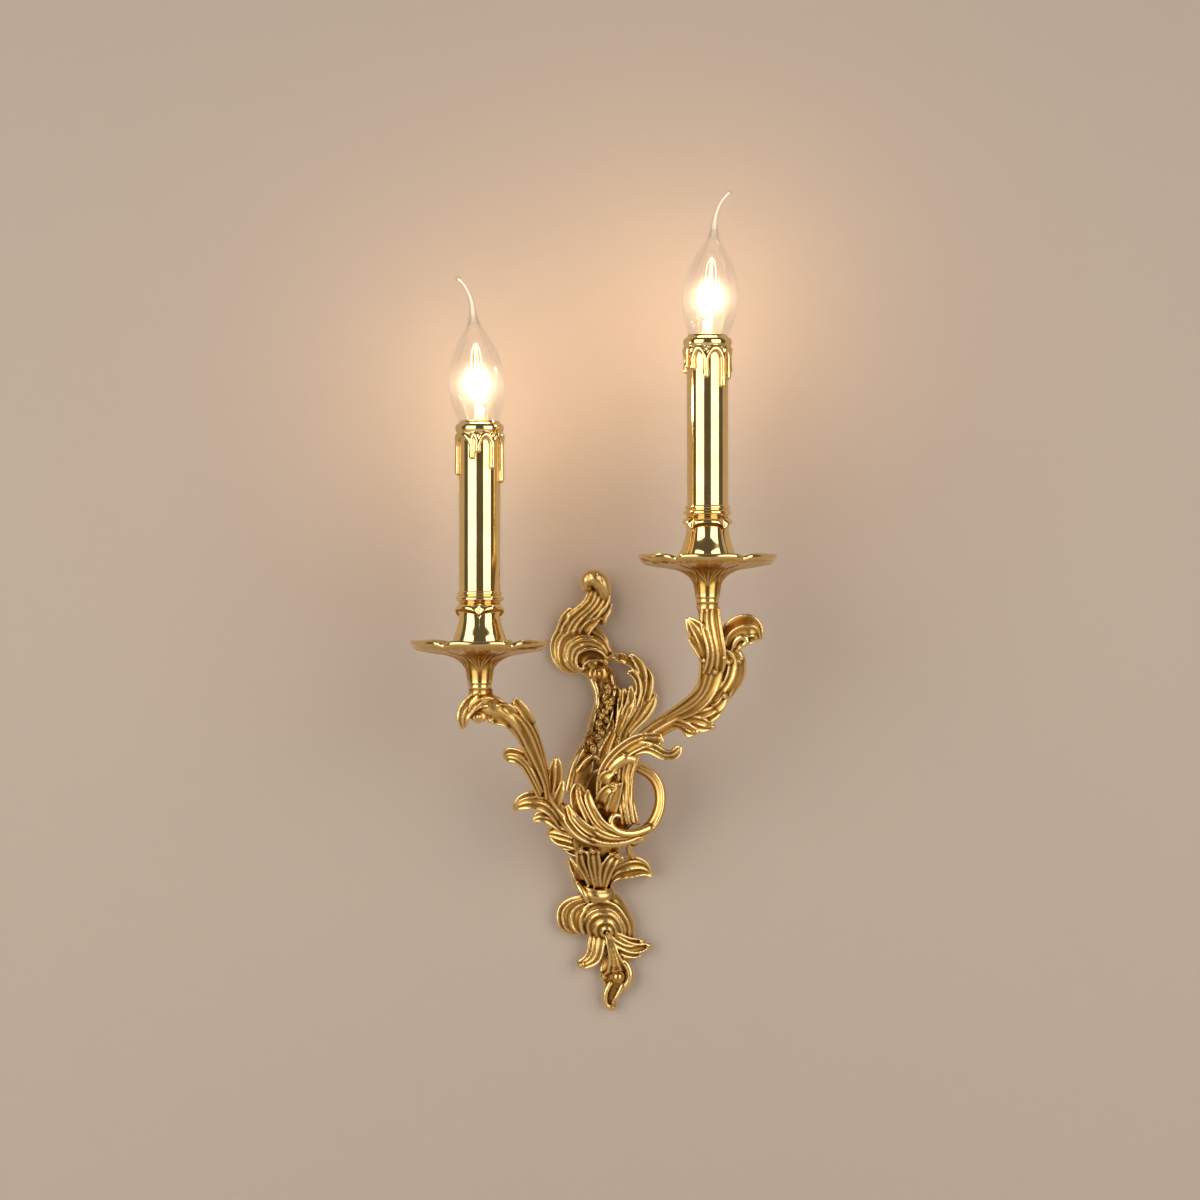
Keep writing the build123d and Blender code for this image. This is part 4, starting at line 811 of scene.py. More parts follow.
# Right arm
# A gilded casting like the left one: a fluted stalk behind a large curled front leaf, then a
# stem that climbs to the right with scrolled leaves on both sides, and a beaded neck.
right_arm_shapes = [
    strand([(9.5, 4, 38), (12, 18, 42), (12.5, 32, 44), (14.5, 45, 47), (23, 57, 53.5), (36, 66.5, 62),
            (49, 75, 71), (59.8, 87.9, 82), (65.5, 101.9, 89.5), (65.5, 116.9, 94), (62.3, 130.9, 95)],
           [5, 5, 5, 5, 5.6, 6, 6.2, 6.6, 6.6, 6.2, 5.8], flutes=8, depth=0.15),
    prism(round_outline(*hub_circles[1][:2], arm_root_r), hub_out, arm_root_out),
    # fluted sheath along the stem, out to its scrolled lower edge
    arm_blade([(16, 58, 52), (24, 65, 57), (38, 74.6, 68), (50, 83.4, 79), (56.6, 92, 86),
               (58.2, 104, 91.5), (59.4, 114, 94.5), (58.6, 126, 96)],
              [(28, 57, 55), (35, 63, 61), (50, 67.4, 74), (64, 71, 84), (73.4, 80, 89), (79.6, 92, 91),
               (79, 104, 94), (72.4, 118, 97)], (0, 0.2, 0.34, 0.62, 0.84, 1), rib=1.3, crown=0.16,
              thick=4.5),
    # stalk above the hub
    arm_blade([(9.5, 2, 44), (8, 12, 45), (7, 24, 46), (7, 34, 47), (8, 42, 48)],
              [(20, 2, 42), (17.2, 12, 43), (16, 24, 44), (16.8, 34, 46), (19.8, 45, 48)],
              (0, 0.25, 0.45, 0.7, 1), rib=1.2, crown=0.2, thick=6.0, read_at=hub_read_at),
    arm_strand([(16.5, 4, 44), (15, 14, 45.5), (14.8, 24, 46.5), (16, 35, 48), (19.6, 45.5, 50)], [1.3] * 5,
               read_at=hub_read_at),
    # curled front leaf
    arm_blade([(-6, 13, 47), (-6.6, 25, 51), (-5, 37, 54), (0.6, 47, 57), (8.6, 54.4, 59), (18.6, 59.8, 61),
               (28, 61, 62.5), (33.4, 59.4, 63), (35.4, 56.4, 63)],
              [(-1, 13, 48), (-0.4, 25, 53), (2, 33.4, 56), (7.4, 41, 59), (14, 47.4, 61), (21.6, 51.6, 63),
               (28, 53.6, 64), (32.4, 54.6, 64), (35, 55.6, 63)], (0, 0.36, 1), rib=1.6, crown=0.1,
              thick=4.0),
    arm_blade([(10, 51, 58), (18, 55, 61), (26, 55.2, 63.5), (32, 53, 65), (36, 50.6, 66), (40, 50.4, 66),
               (43, 52.8, 65.5), (45, 53.4, 65)],
              [(10, 44, 56), (18, 48, 59), (25, 49, 62), (30, 47, 64), (35, 44.8, 65.5), (40.5, 44.8, 66),
               (45, 47.8, 65.5), (46.6, 52, 65)], (0, 0.5, 1), rib=1.4),
    arm_strand([(0, 36, 54), (6, 42.6, 57), (12, 45.6, 58.5), (15.6, 44.8, 58)], [3, 4.2, 4.4, 3.2]),
    arm_finger([(-4, 28, 52), (-0.5, 35, 57), (5.6, 37.4, 58)], [5.4, 5, 1.8], thick=4.0),
    arm_finger([(-5, 16, 49), (-2.4, 23.4, 54), (2, 26.6, 56), (6, 25.8, 55)], [5.4, 5.2, 4, 1.8],
               thick=4.0),
    arm_blade([(-6, 12, 46), (-5, 20, 48), (-2, 26, 50), (3, 30, 51)],
              [(4, 8, 45), (6, 15, 46.5), (7.5, 22, 47.5), (9, 30, 49)], (0, 0.5, 1), rib=1.2),
    # lobes along the lower edge of the sheath
    arm_blade([(27, 62.4, 58), (36.5, 67.7, 64.5), (43, 69.3, 71), (49.4, 67.7, 76), (54.8, 64.5, 79),
               (56.6, 62.8, 79.5)],
              [(30.6, 58.4, 56), (37.8, 63.4, 62), (43.6, 64.6, 69), (48.2, 61.6, 74), (52.4, 59.2, 77),
               (55.8, 61, 78)], (0, 0.5, 1), rib=1.3, crown=0.16),
    arm_blade([(42, 70.8, 71), (51, 71.6, 77.5), (58, 71, 82.5), (63.5, 68.8, 85), (66.4, 66.2, 85.5)],
              [(46, 67.4, 71), (52.6, 66, 76), (57.6, 63.2, 80), (61.4, 62.6, 82), (65.8, 64.2, 84)],
              (0, 0.5, 1), rib=1.3, crown=0.16),
    arm_blade([(50, 72.6, 77), (59, 75, 84), (66, 77.6, 88.5), (70, 80.6, 90.5)],
              [(56, 69.4, 78), (64, 68.4, 84), (70.2, 72.4, 88), (73, 79, 90)], (0, 0.5, 1), rib=1.3,
              crown=0.16),
    *[bead(*spot, 1.7) for spot in sighted([(56.2, 62, 79.4), (66, 65.2, 85.6)], stem_read_at)],
    arm_finger([(66, 76, 89), (71, 79, 92), (73.4, 84.6, 93)], [5, 4.6, 2.6], curl=2.0),
    # fold on the right and the upper scroll
    arm_blade([(64, 84, 88), (71, 91, 93), (74.6, 98, 96), (75.4, 105, 97.5), (73, 110, 98.5),
               (69, 112, 98.5)],
              [(71, 77, 85), (79, 87, 88.5), (84.2, 95, 91), (85.6, 103, 92.5), (83.6, 111, 94),
               (77.4, 115, 95.5)],
              (0, 0.34, 1), rib=1.4, crown=0.22, thick=4.5),
    arm_strand([(76, 113.6, 96), (81, 112.6, 96.5), (83.7, 108.5, 95.5)], [2.4, 2.4, 1.9]),
    arm_blade([(68, 108, 92), (70, 121, 93.5), (75.4, 130, 96), (83, 134.4, 98), (90.4, 134, 99),
               (96, 128, 98.5), (96.4, 120, 97)],
              [(77, 106, 95), (78.4, 114, 98), (81.4, 119, 100.5), (86.4, 121.4, 102), (90.4, 122, 102),
               (92.4, 121.4, 100), (94.2, 119, 97.5)], (0, 0.56, 1), rib=1.5, crown=0.18, thick=4.5),
    arm_strand([(79, 116, 99), (81.4, 120, 101), (85, 121, 102), (87, 118.6, 102), (85.2, 116.4, 101.4)],
               [2, 2.2, 2.1, 1.8, 1.6]),
    arm_finger([(78, 112, 97), (82, 117, 100), (87, 119, 101), (92.4, 119.4, 99.5)], [5, 5, 4.4, 2]),
    # leaves on the left of the upper stem
    arm_blade([(60, 100, 91), (57, 111, 94), (53.6, 118.5, 97), (50.4, 126, 99), (48.9, 132.6, 99.5)],
              [(70, 102, 96), (68, 114, 100.5), (64, 123, 102.5), (58.8, 130, 102.5), (51.6, 133.6, 100.5)],
              (0, 0.3, 0.65, 1), rib=1.5),
    arm_finger([(62, 107, 96), (56.4, 115, 98.5), (50.6, 121.8, 98.5)], [5.6, 5.4, 1.8]),
    arm_blade([(60, 98, 96), (62.6, 109, 101), (61, 120, 103), (58.6, 130, 102), (59, 139, 99.5)],
              [(72, 98, 96), (73.6, 109, 100.5), (72.2, 120, 102.5), (70.6, 130, 101), (69.6, 139, 98.5)],
              (0, 0.3, 0.62, 1), rib=1.5),
    *[bead(x, z, out, 2.0) for x, z, out in ((59.6, 107.5, 96), (60, 103.6, 95.5), (66, 100.5, 99.5),
                                              (71.5, 109, 100), (74.4, 106.5, 99), (80.6, 107, 96.5))],
    neck(*candles["right"]),
]
right_arm = cast("right_arm_casting", right_arm_shapes, grain=0.45)
note_wear_and_shade(right_arm)
right_arm.data.materials.append(arm_finish)
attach(right_arm, "fixture")
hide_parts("right_arm")


def vary(add, link, drift, one, other, socket):
    """Let a socket drift between two tones, or two numbers, with a noise."""
    link(ramp(add, link, drift, (0.3, one), (0.7, other)), socket)


def plain_metal(name, dark, light, smoother, rougher):
    """A turned or drawn metal: two tones that drift into each other and fine scratches."""
    material, shader, add, link = finish_of(name)
    shader.inputs["Metallic"].default_value = 1.0
    drift = noise(add, link, scale=300.0, detail=4.0)
    vary(add, link, drift, dark, light, shader.inputs["Base Color"])
    vary(add, link, drift, (smoother,), (rougher,), shader.inputs["Roughness"])
    bump(add, link, shader, noise(add, link, scale=2400.0, detail=2.0), strength=0.05, distance=0.0001)
    return material


def moulded(name, dark, light, rough):
    """A moulded insulator: nearly even colour with a fine orange-peel skin."""
    material, shader, add, link = finish_of(name)
    vary(add, link, noise(add, link, scale=250.0, detail=3.0), dark, light, shader.inputs["Base Color"])
    shader.inputs["Roughness"].default_value = rough
    bump(add, link, shader, noise(add, link, scale=1800.0, detail=1.0), strength=0.1, distance=0.0001)
    return material


def paint_node(name, finish):
    """Give a carried-over CAD node its finish."""
    mesh = nodes[name].data
    mesh.materials.clear()
    mesh.materials.append(finish)


plain_brass = plain_metal("plain_brass", (0.58, 0.4, 0.15), (0.74, 0.53, 0.22), smoother=0.28, rougher=0.4)
zinc_steel = plain_metal("zinc_steel", (0.5, 0.5, 0.48), (0.66, 0.66, 0.62), smoother=0.3, rougher=0.42)
nickel = plain_metal("nickel", (0.6, 0.57, 0.52), (0.75, 0.72, 0.66), smoother=0.16, rougher=0.26)
solder = plain_metal("solder", (0.45, 0.45, 0.46), (0.6, 0.6, 0.6), smoother=0.35, rougher=0.5)
white_nylon = moulded("white_nylon", (0.72, 0.7, 0.65), (0.8, 0.79, 0.75), rough=0.45)
black_resin = moulded("black_resin", (0.012, 0.012, 0.012), (0.03, 0.028, 0.026), rough=0.4)
black_glass = moulded("black_glass", (0.01, 0.01, 0.012), (0.02, 0.02, 0.022), rough=0.1)
lead_sheath = moulded("lead_sheath", (0.6, 0.56, 0.48), (0.7, 0.66, 0.57), rough=0.5)
for node, finish in {
    "wall_studs": zinc_steel, "arm_nipples": plain_brass, "arm_nipple_nuts": plain_brass,
    "arm_nipple_washers": zinc_steel, "terminal_block": white_nylon, "terminal_clamps": plain_brass,
    "terminal_screws": zinc_steel, "terminal_fixing_screw": zinc_steel, "earth_screw": plain_brass,
    "earth_washer": zinc_steel, "left_lamp_lead": lead_sheath, "right_lamp_lead": lead_sheath,
}.items():
    paint_node(node, finish)

# Ball nuts
# Two turned balls of gilded brass that screw onto the studs and hold the plate to the wall.
ball_gilt = plain_metal("ball_gilt", (0.56, 0.31, 0.08), (0.7, 0.42, 0.13), smoother=0.1, rougher=0.2)
for node in ("upper_ball_nut", "lower_ball_nut"):
    paint_node(node, ball_gilt)

# Drip pans
# Cast dishes on a trumpet stem, screwed down on the necks of the arms. The rim runs in six lobes
# and a leaf hangs down the trumpet under each lobe.
pan_lobes = 6
pan_under = [(7.7, 0.0), (7.9, 3.0), (8.5, 7.0), (10.0, 11.9), (13.8, 15.4), (19.5, 17.8), (28.0, 19.2),
             (36.4, 20.8), (41.6, 22.6), (43.4, 24.2)]
pan_over = [(43.3, 26.4), (42.2, 26.4), (37.0, 24.2), (28.2, 21.4), (21.2, 21.9), (18.4, 22.5)]
pan_bore = [(5.1, 22.5), (5.1, 0.0)]
pan_turn = -math.pi / 2
seam_reach = 0.00001


def sector(profile_at, lobes, steps):
    """One lobe's share of a round piece: its closed profile carried over one step of the round."""
    angles = np.linspace(-math.pi / lobes, math.pi / lobes, steps)
    rows = np.array([profile_at(a) for a in angles])
    spots = np.stack([rows[..., 0] * np.cos(angles)[:, None], rows[..., 0] * np.sin(angles)[:, None],
                      rows[..., 1]], -1)
    number = np.arange(rows.shape[0] * rows.shape[1]).reshape(rows.shape[:2])
    after = np.roll(number, -1, axis=1)
    quads = np.stack([number[:-1], number[1:], after[1:], after[:-1]], -1).reshape(-1, 4)
    mesh = bpy.data.meshes.new("sector")
    mesh.from_pydata((spots.reshape(-1, 3) * MM).tolist(), [], quads.tolist())
    return mesh


def round_tree():
    """Geometry nodes that set a sector round an upright axis and close the seams."""
    tree, make, link, given = new_tree("set_round", {
        "Sector": "Geometry", "Lobes": "Int", "Turn": "Float", "Place": "Vector", "Finish": "Material",
    })
    row = make("GeometryNodeMeshLine")
    row.inputs["Offset"].default_value = (0, 0, 0)
    link(given.outputs["Lobes"], row.inputs["Count"])
    share = make("ShaderNodeMath")
    share.operation = "DIVIDE"
    share.inputs[0].default_value = 2 * math.pi
    link(given.outputs["Lobes"], share.inputs[1])
    angle = make("ShaderNodeMath")
    angle.operation = "MULTIPLY_ADD"
    link(make("GeometryNodeInputIndex").outputs["Index"], angle.inputs[0])
    link(share.outputs["Value"], angle.inputs[1])
    link(given.outputs["Turn"], angle.inputs[2])
    spin = make("ShaderNodeCombineXYZ")
    link(angle.outputs["Value"], spin.inputs["Z"])
    turn = make("FunctionNodeEulerToRotation")
    link(spin.outputs["Vector"], turn.inputs["Euler"])
    copies = make("GeometryNodeInstanceOnPoints")
    link(row.outputs["Mesh"], copies.inputs["Points"])
    link(given.outputs["Sector"], copies.inputs["Instance"])
    link(turn.outputs["Rotation"], copies.inputs["Rotation"])
    real = make("GeometryNodeRealizeInstances")
    link(copies.outputs["Instances"], real.inputs["Geometry"])
    weld = make("GeometryNodeMergeByDistance")
    weld.inputs["Distance"].default_value = seam_reach
    link(real.outputs["Geometry"], weld.inputs["Geometry"])
    move = make("GeometryNodeTransform")
    link(weld.outputs["Geometry"], move.inputs["Geometry"])
    link(given.outputs["Place"], move.inputs["Translation"])
    send_out(make, link, given, move.outputs["Geometry"])
    return tree


set_round = round_tree()


def rounded(name, mesh, lobes, turn, place, finish):
    """A round piece of equal lobes, standing at place."""
    obj = put(name, mesh)
    repeat = obj.modifiers.new("repeat", "NODES")
    repeat.node_group = set_round
    set_inputs(repeat, {"Lobes": lobes, "Turn": turn, "Place": place, "Finish": finish})
    settle(obj)
    obj.data.shade_smooth()
    return obj


def above(candle, height):
    """A place on a candle's axis, height mm above its seat, in metres."""
    return (candle[0] * MM, -candle_out * MM, (candle[1] + height) * MM)


def smooth_line(places, count):
    """A smooth line of count points through places."""
    rows = np.array(places)
    knots = run_of(rows)
    return smooth(knots, rows, np.linspace(0, knots[-1], count))


under_line = smooth_line(pan_under, count=70)
pan_line = np.concatenate([under_line, smooth_line(pan_over, count=30), pan_bore])
rim_root_r = 30.0
rim_run = 13.0
notch_share = 0.14
notch_in = 1.5
notch_down = 1.3
lobe_round = 1.0
lobe_lift = 0.4
leaf_tip_h = 7.5
leaf_rise = 7.5
leaf_share = 0.9
leaf_taper = 0.6
leaf_blend = 0.08
leaf_thick = 0.4
leaf_rib = 0.4
leaf_vein = 0.3
leaf_edge = 0.45
rib_reach = 0.06
edge_reach = 0.07
edge_in = 0.1
edge_from = 0.05
vein_from = 0.3
leaf_end_r = 42.0
knot_r = 38.5
knot_reach = 2.2
knot_thick = 0.9
fade_run = 4.0


def pan_profile(angle):
    """The pan's section at an angle from the middle of a lobe."""
    side = abs(angle) * pan_lobes / math.pi
    line = pan_line.copy()
    outer = np.clip((pan_line[:, 0] - rim_root_r) / rim_run, 0, 1) ** 2
    notch = math.exp(-((1 - side) / notch_share) ** 2)
    line[:, 0] -= outer * (lobe_round * side ** 2 + notch_in * notch)
    line[:, 1] -= outer * (notch_down * notch - lobe_lift * math.sin(math.pi * side) ** 2)
    slope = np.gradient(under_line, axis=0)
    normal = unit(np.column_stack([slope[:, 1], -slope[:, 0]]))
    r, h = under_line.T
    width = np.clip((h - leaf_tip_h) / leaf_rise, 0, 1) ** leaf_taper * leaf_share
    inside = np.clip((width - side) / leaf_blend, 0, 1)
    edge = np.exp(-((side - width + edge_in) / edge_reach) ** 2) * (width > edge_from)
    rib = np.exp(-(side / rib_reach) ** 2)
    vein = np.exp(-((side - 0.5 * width) / rib_reach) ** 2) * (width > vein_from)
    knot = notch * np.exp(-((r - knot_r) / knot_reach) ** 2)
    lift = inside * (leaf_thick + leaf_rib * rib + leaf_vein * vein) + edge * leaf_edge
    lift *= np.clip((h - leaf_tip_h) / fade_run, 0, 1)
    fade = np.clip((leaf_end_r - r) / fade_run, 0, 1)
    line[:len(under_line)] += normal * (lift * fade + knot_thick * knot)[:, None]
    return line


pan_finish = gilt_brass("burnished_gilt", dullness=0.7, light=0.85)
for side, candle in candles.items():
    pan = rounded(f"{side}_pan_dish", sector(pan_profile, pan_lobes, steps=73), pan_lobes, pan_turn,
                  above(candle, 0), pan_finish)
    note_wear_and_shade(pan)
    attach(pan, "fixture")
    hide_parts(f"{side}_drip_pan")

# Candle cups
# Spun brass bells, polished, standing on the pans. Four petals roll out at the top and a soft
# crease runs down the bell below each gap between them.


def polished_brass():
    """Mirror-polished and lacquered brass with faint wiping marks."""
    material, shader, add, link = finish_of("polished_brass")
    shader.inputs["Metallic"].default_value = 1.0
    drift = noise(add, link, scale=90.0, detail=4.0)
    vary(add, link, drift, (0.9, 0.64, 0.27), (0.96, 0.72, 0.34), shader.inputs["Base Color"])
    vary(add, link, drift, (0.05,), (0.11,), shader.inputs["Roughness"])
    bump(add, link, shader, noise(add, link, scale=60.0, detail=2.0), strength=0.02, distance=0.0003)
    return material


mirror_finish = polished_brass()
cup_petals = 4
cup_turns = {"left": -math.pi / 4, "right": -math.pi / 2}
cup_foot_h = 22.5
petal_root_h = 17.0
petal_rise = 6.1
bell_swell = 0.35
gap_in = 1.6
gap_down = 4.2
cup_outer = [(17.2, 0.0), (17.0, 3.2), (15.6, 8.4), (13.8, 14.0), (12.9, 18.4), (13.0, 20.8), (13.9, 22.6),
             (15.0, 23.1)]
cup_lip = [(15.5, 23.6), (15.5, 24.5), (14.7, 25.6), (13.4, 26.6)]
cup_inside = [(12.2, 27.1), (11.2, 27.1), (11.2, 16.3), (14.6, 8.1), (14.7, 2.5), (5.1, 2.5), (5.1, 0.0)]
lip_draw = np.array([(2.0, 4.2), (2.0, 3.8), (1.4, 2.6), (0.6, 1.2)])
cup_line = smooth_line(cup_outer, count=40)


def cup_profile(angle):
    """The cup's section at an angle from the middle of a petal."""
    side = abs(angle) * cup_petals / math.pi
    dip = side ** 3
    pinch = side ** 7
    bell = cup_line.copy()
    high = np.clip((bell[:, 1] - petal_root_h) / petal_rise, 0, 1) ** 2
    bell[:, 0] += bell_swell - 2 * bell_swell * side ** 2 - high * gap_in * pinch
    bell[:, 1] -= high * gap_down * dip
    lip = np.array(cup_lip) - lip_draw * (pinch, dip)
    return np.concatenate([bell, lip, cup_inside])


for side, candle in candles.items():
    cup = rounded(f"{side}_cup_bell", sector(cup_profile, cup_petals, steps=81), cup_petals,
                  cup_turns[side], above(candle, cup_foot_h), mirror_finish)
    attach(cup, "fixture")
    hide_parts(f"{side}_candle_cup")

# Candle rings and sleeves
# A turned ring with two rolls sits on each cup, and the sleeve, a drawn brass tube, stands in it.
ring_foot_h = 49.6
ring_parts = 8


def roll(r, low, high, bulge, count=7):
    """Half-round bead of a turned profile, from height low to high."""
    turn = np.linspace(-math.pi / 2, math.pi / 2, count)
    return [(r + bulge * math.cos(t), (low + high) / 2 + (high - low) / 2 * math.sin(t)) for t in turn]


ring_profile = [(11.2, 0.0), (13.2, 0.0), (13.2, 0.8), *roll(13.3, 0.9, 4.3, 1.6), (13.0, 4.6),
                *roll(13.2, 4.8, 7.1, 0.7), (12.8, 7.2), (12.8, 2.4), (11.2, 2.4)]
for side, candle in candles.items():
    part = sector(lambda angle: ring_profile, ring_parts, steps=13)
    ring = rounded(f"{side}_ring_rolls", part, ring_parts, 0.0, above(candle, ring_foot_h), mirror_finish)
    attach(ring, "fixture")
    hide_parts(f"{side}_candle_ring")
    paint_node(f"{side}_candle_sleeve", mirror_finish)

# Drip caps
# Cast collars over the sleeves, polished like them, with runs of wax modelled on them. Each run is
# an angle from the front in degrees, to the right, and a length in mm below the rim.
rim_h = 159.5
collar = [(0.5, 12.6), (0.4, 13.6), (-0.5, 14.4), (-2, 15.0), (-3.6, 15.0), (-4.8, 14.4), (-5.8, 13.9),
          (-7.6, 13.6)]
cap_bores = ((12.8, -45, 0.0), (12.2, -1, 20))
run_r = 13.5
run_radii = [1.3, 1.8, 1.7, 2.0, 2.1]
arch_r = 13.6
arch_radii = [1.5, 1.7, 1.8, 1.8, 1.8, 1.8, 1.8, 1.7, 1.5]
arch_top_h = -6.8
arch_round = 0.55
least_fall = 3.0
most_fall = 8.0
fall_per_degree = 0.12
wax_runs = {
    "left": [(-80, 32), (-18, 22.5), (-3, 18.5), (37, 28.5), (78, 36.5), (126, 22), (178, 30), (228, 19)],
    "right": [(-64, 19.5), (-43, 20.5), (-6, 25.5), (42, 31), (66, 26), (100, 22), (150, 18), (203, 31),
              (252, 22)],
}


def on_round(candle, angle, r, height):
    """A place at an angle from the front on a round about a candle's axis."""
    turn = math.radians(angle)
    return (candle[0] + r * math.sin(turn), candle[1] + height, candle_out + r * math.cos(turn))


def bore(obj, candle, r, low, high):
    """Bore an upright round hole on a candle's axis, between two heights above its rim."""
    sides = 64
    x, out = round_outline(candle[0], candle_out, r, count=sides).T
    rings = [np.column_stack([x, -out, np.full(sides, candle[1] + rim_h + h)]) for h in (low, high)]
    step = np.arange(sides)
    after = np.roll(step, -1)
    walls = np.stack([step, step + sides, after + sides, after], -1).tolist()
    mesh = bpy.data.meshes.new("bore")
    mesh.from_pydata((np.concatenate(rings) * MM).tolist(), [],
                     [*walls, step.tolist(), (step[::-1] + sides).tolist()])
    take_out(obj, mesh)


for side, candle in candles.items():
    shapes = [strand([(candle[0], candle[1] + rim_h + h, candle_out) for h, r in collar],
                     [r for h, r in collar], sides=72)]
    angles = [angle for angle, length in wax_runs[side]]
    for (angle, length), after in zip(wax_runs[side], angles[1:] + [angles[0] + 360]):
        drop = [-7, -11, -0.6 * length - 2, 4 - length, 2.2 - length]
        shapes.append(strand([on_round(candle, angle, run_r, rim_h + h) for h in drop], run_radii))
        span = after - angle
        fall = min(most_fall, least_fall + fall_per_degree * span)
        arch = [(share, arch_top_h - fall * (1 - math.sin(math.pi * share) ** arch_round))
                for share in np.linspace(0, 1, len(arch_radii))]
        places = [on_round(candle, angle + share * span, arch_r, rim_h + h) for share, h in arch]
        shapes.append(strand(places, arch_radii))
    cap = cast(f"{side}_wax_cap", shapes, grain=0.32)
    for r, low, high in cap_bores:
        bore(cap, candle, r, low, high)
    cap.data.materials.clear()
    cap.data.materials.append(mirror_finish)
    cap.data.shade_smooth()
    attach(cap, f"{side}_sleeve")
    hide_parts(f"{side}_drip_cap")

# Lamp holders and lamps
# A resin holder with a brass shell inside each sleeve, and a clear flame lamp: blown glass drawn to a
# bent tip, a glass stem, glowing hairpin filaments on thin wires and a plated screw cap.


def lamp_glass():
    """Clear blown glass with a painted warm glow, standing in for the glare of the filaments inside,
    strongest where the glass is seen face on.
    """
    material, shader, add, link = finish_of("lamp_glass")
    shader.inputs["Base Color"].default_value = (1.0, 0.93, 0.8, 1)
    shader.inputs["Roughness"].default_value = 0.03
    shader.inputs["IOR"].default_value = 1.45
    shader.inputs["Transmission Weight"].default_value = 1.0
    shader.inputs["Emission Color"].default_value = (1.0, 0.82, 0.54, 1)
    layer = add("ShaderNodeLayerWeight")
    layer.inputs["Blend"].default_value = 0.35
    facing = layer.outputs["Facing"]
    glow_steps = ((0.0, 1.0), (0.06, 0.75), (0.13, 0.35), (0.3, 0.12), (0.8, 0.01))
    body_steps = ((0.0, 0.05), (0.6, 0.09), (1.0, 0.55))
    glow = add("ShaderNodeMath", operation="MULTIPLY")
    link(add("ShaderNodeAttribute", attribute_name="bloom").outputs["Fac"], glow.inputs[0])
    link(ramp(add, link, facing, *((at, (value,)) for at, value in glow_steps)), glow.inputs[1])
    link(glow.outputs["Value"], shader.inputs["Emission Strength"])
    body = add("ShaderNodeMath", operation="MAXIMUM")
    link(ramp(add, link, facing, *((at, (value,)) for at, value in body_steps)), body.inputs[0])
    link(add("ShaderNodeAttribute", attribute_name="solid").outputs["Fac"], body.inputs[1])
    link(body.outputs["Value"], shader.inputs["Alpha"])
    return material


def glowing(name, strength, middle, reach):
    """Glowing wire, or glass with a painted glow: hottest at height middle, fading over reach, both in
    metres.
    """
    material, shader, add, link = finish_of(name)
    shader.inputs["Base Color"].default_value = (1.0, 0.85, 0.6, 1)
    place = add("ShaderNodeSeparateXYZ")
    link(add("ShaderNodeTexCoord").outputs["Object"], place.inputs["Vector"])
    away = add("ShaderNodeMath", operation="SUBTRACT")
    away.inputs[1].default_value = middle
    link(place.outputs["Z"], away.inputs[0])
    size = add("ShaderNodeMath", operation="ABSOLUTE")
    link(away.outputs["Value"], size.inputs[0])
    heat = add("ShaderNodeMapRange", interpolation_type="SMOOTHSTEP")
    weakest = 0.03 * strength
    for label, value in (("From Min", reach), ("From Max", 0.0), ("To Min", weakest), ("To Max", strength)):
        heat.inputs[label].default_value = value
    link(size.outputs["Value"], heat.inputs["Value"])
    link(heat.outputs["Result"], shader.inputs["Emission Strength"])
    drift = noise(add, link, scale=700.0, detail=2.0)
    vary(add, link, drift, (1.0, 0.74, 0.4), (1.0, 0.86, 0.6), shader.inputs["Emission Color"])
    return material


glass_line = [(-9.5, 10.6), (-4, 11.0), (0, 11.6), (4, 13.2), (9, 14.8), (16, 16.6), (24.5, 17.3),
              (33, 16.6), (41, 14.6), (48.5, 11.6), (55, 8.0), (60, 5.2), (65, 3.1), (70, 2.0), (76, 1.6),
              (81, 1.4), (85, 1.3)]
bend_h = 60
tip_lean = [(bend_h, 0.0), (66, 0.2), (72, 0.4), (77, 1.1), (82, 2.8), (86.5, 5.4), (89.4, 8.0)]
seat_lean = 0.4
body_lean = 0.052
glass_wall = 0.7
hollow_rows = 66
least_hollow_r = 0.4
glass_sides = 48
tip_bead_r = 1.9
hairpin = [(2.2, 11), (3.4, 17), (5.2, 24), (4.4, 31), (3.2, 39), (2.2, 46), (0.0, 49.5)]
filament_turns = (12, 102)
filament_r = 0.32
clear_glass = lamp_glass()
core_h = 25.0
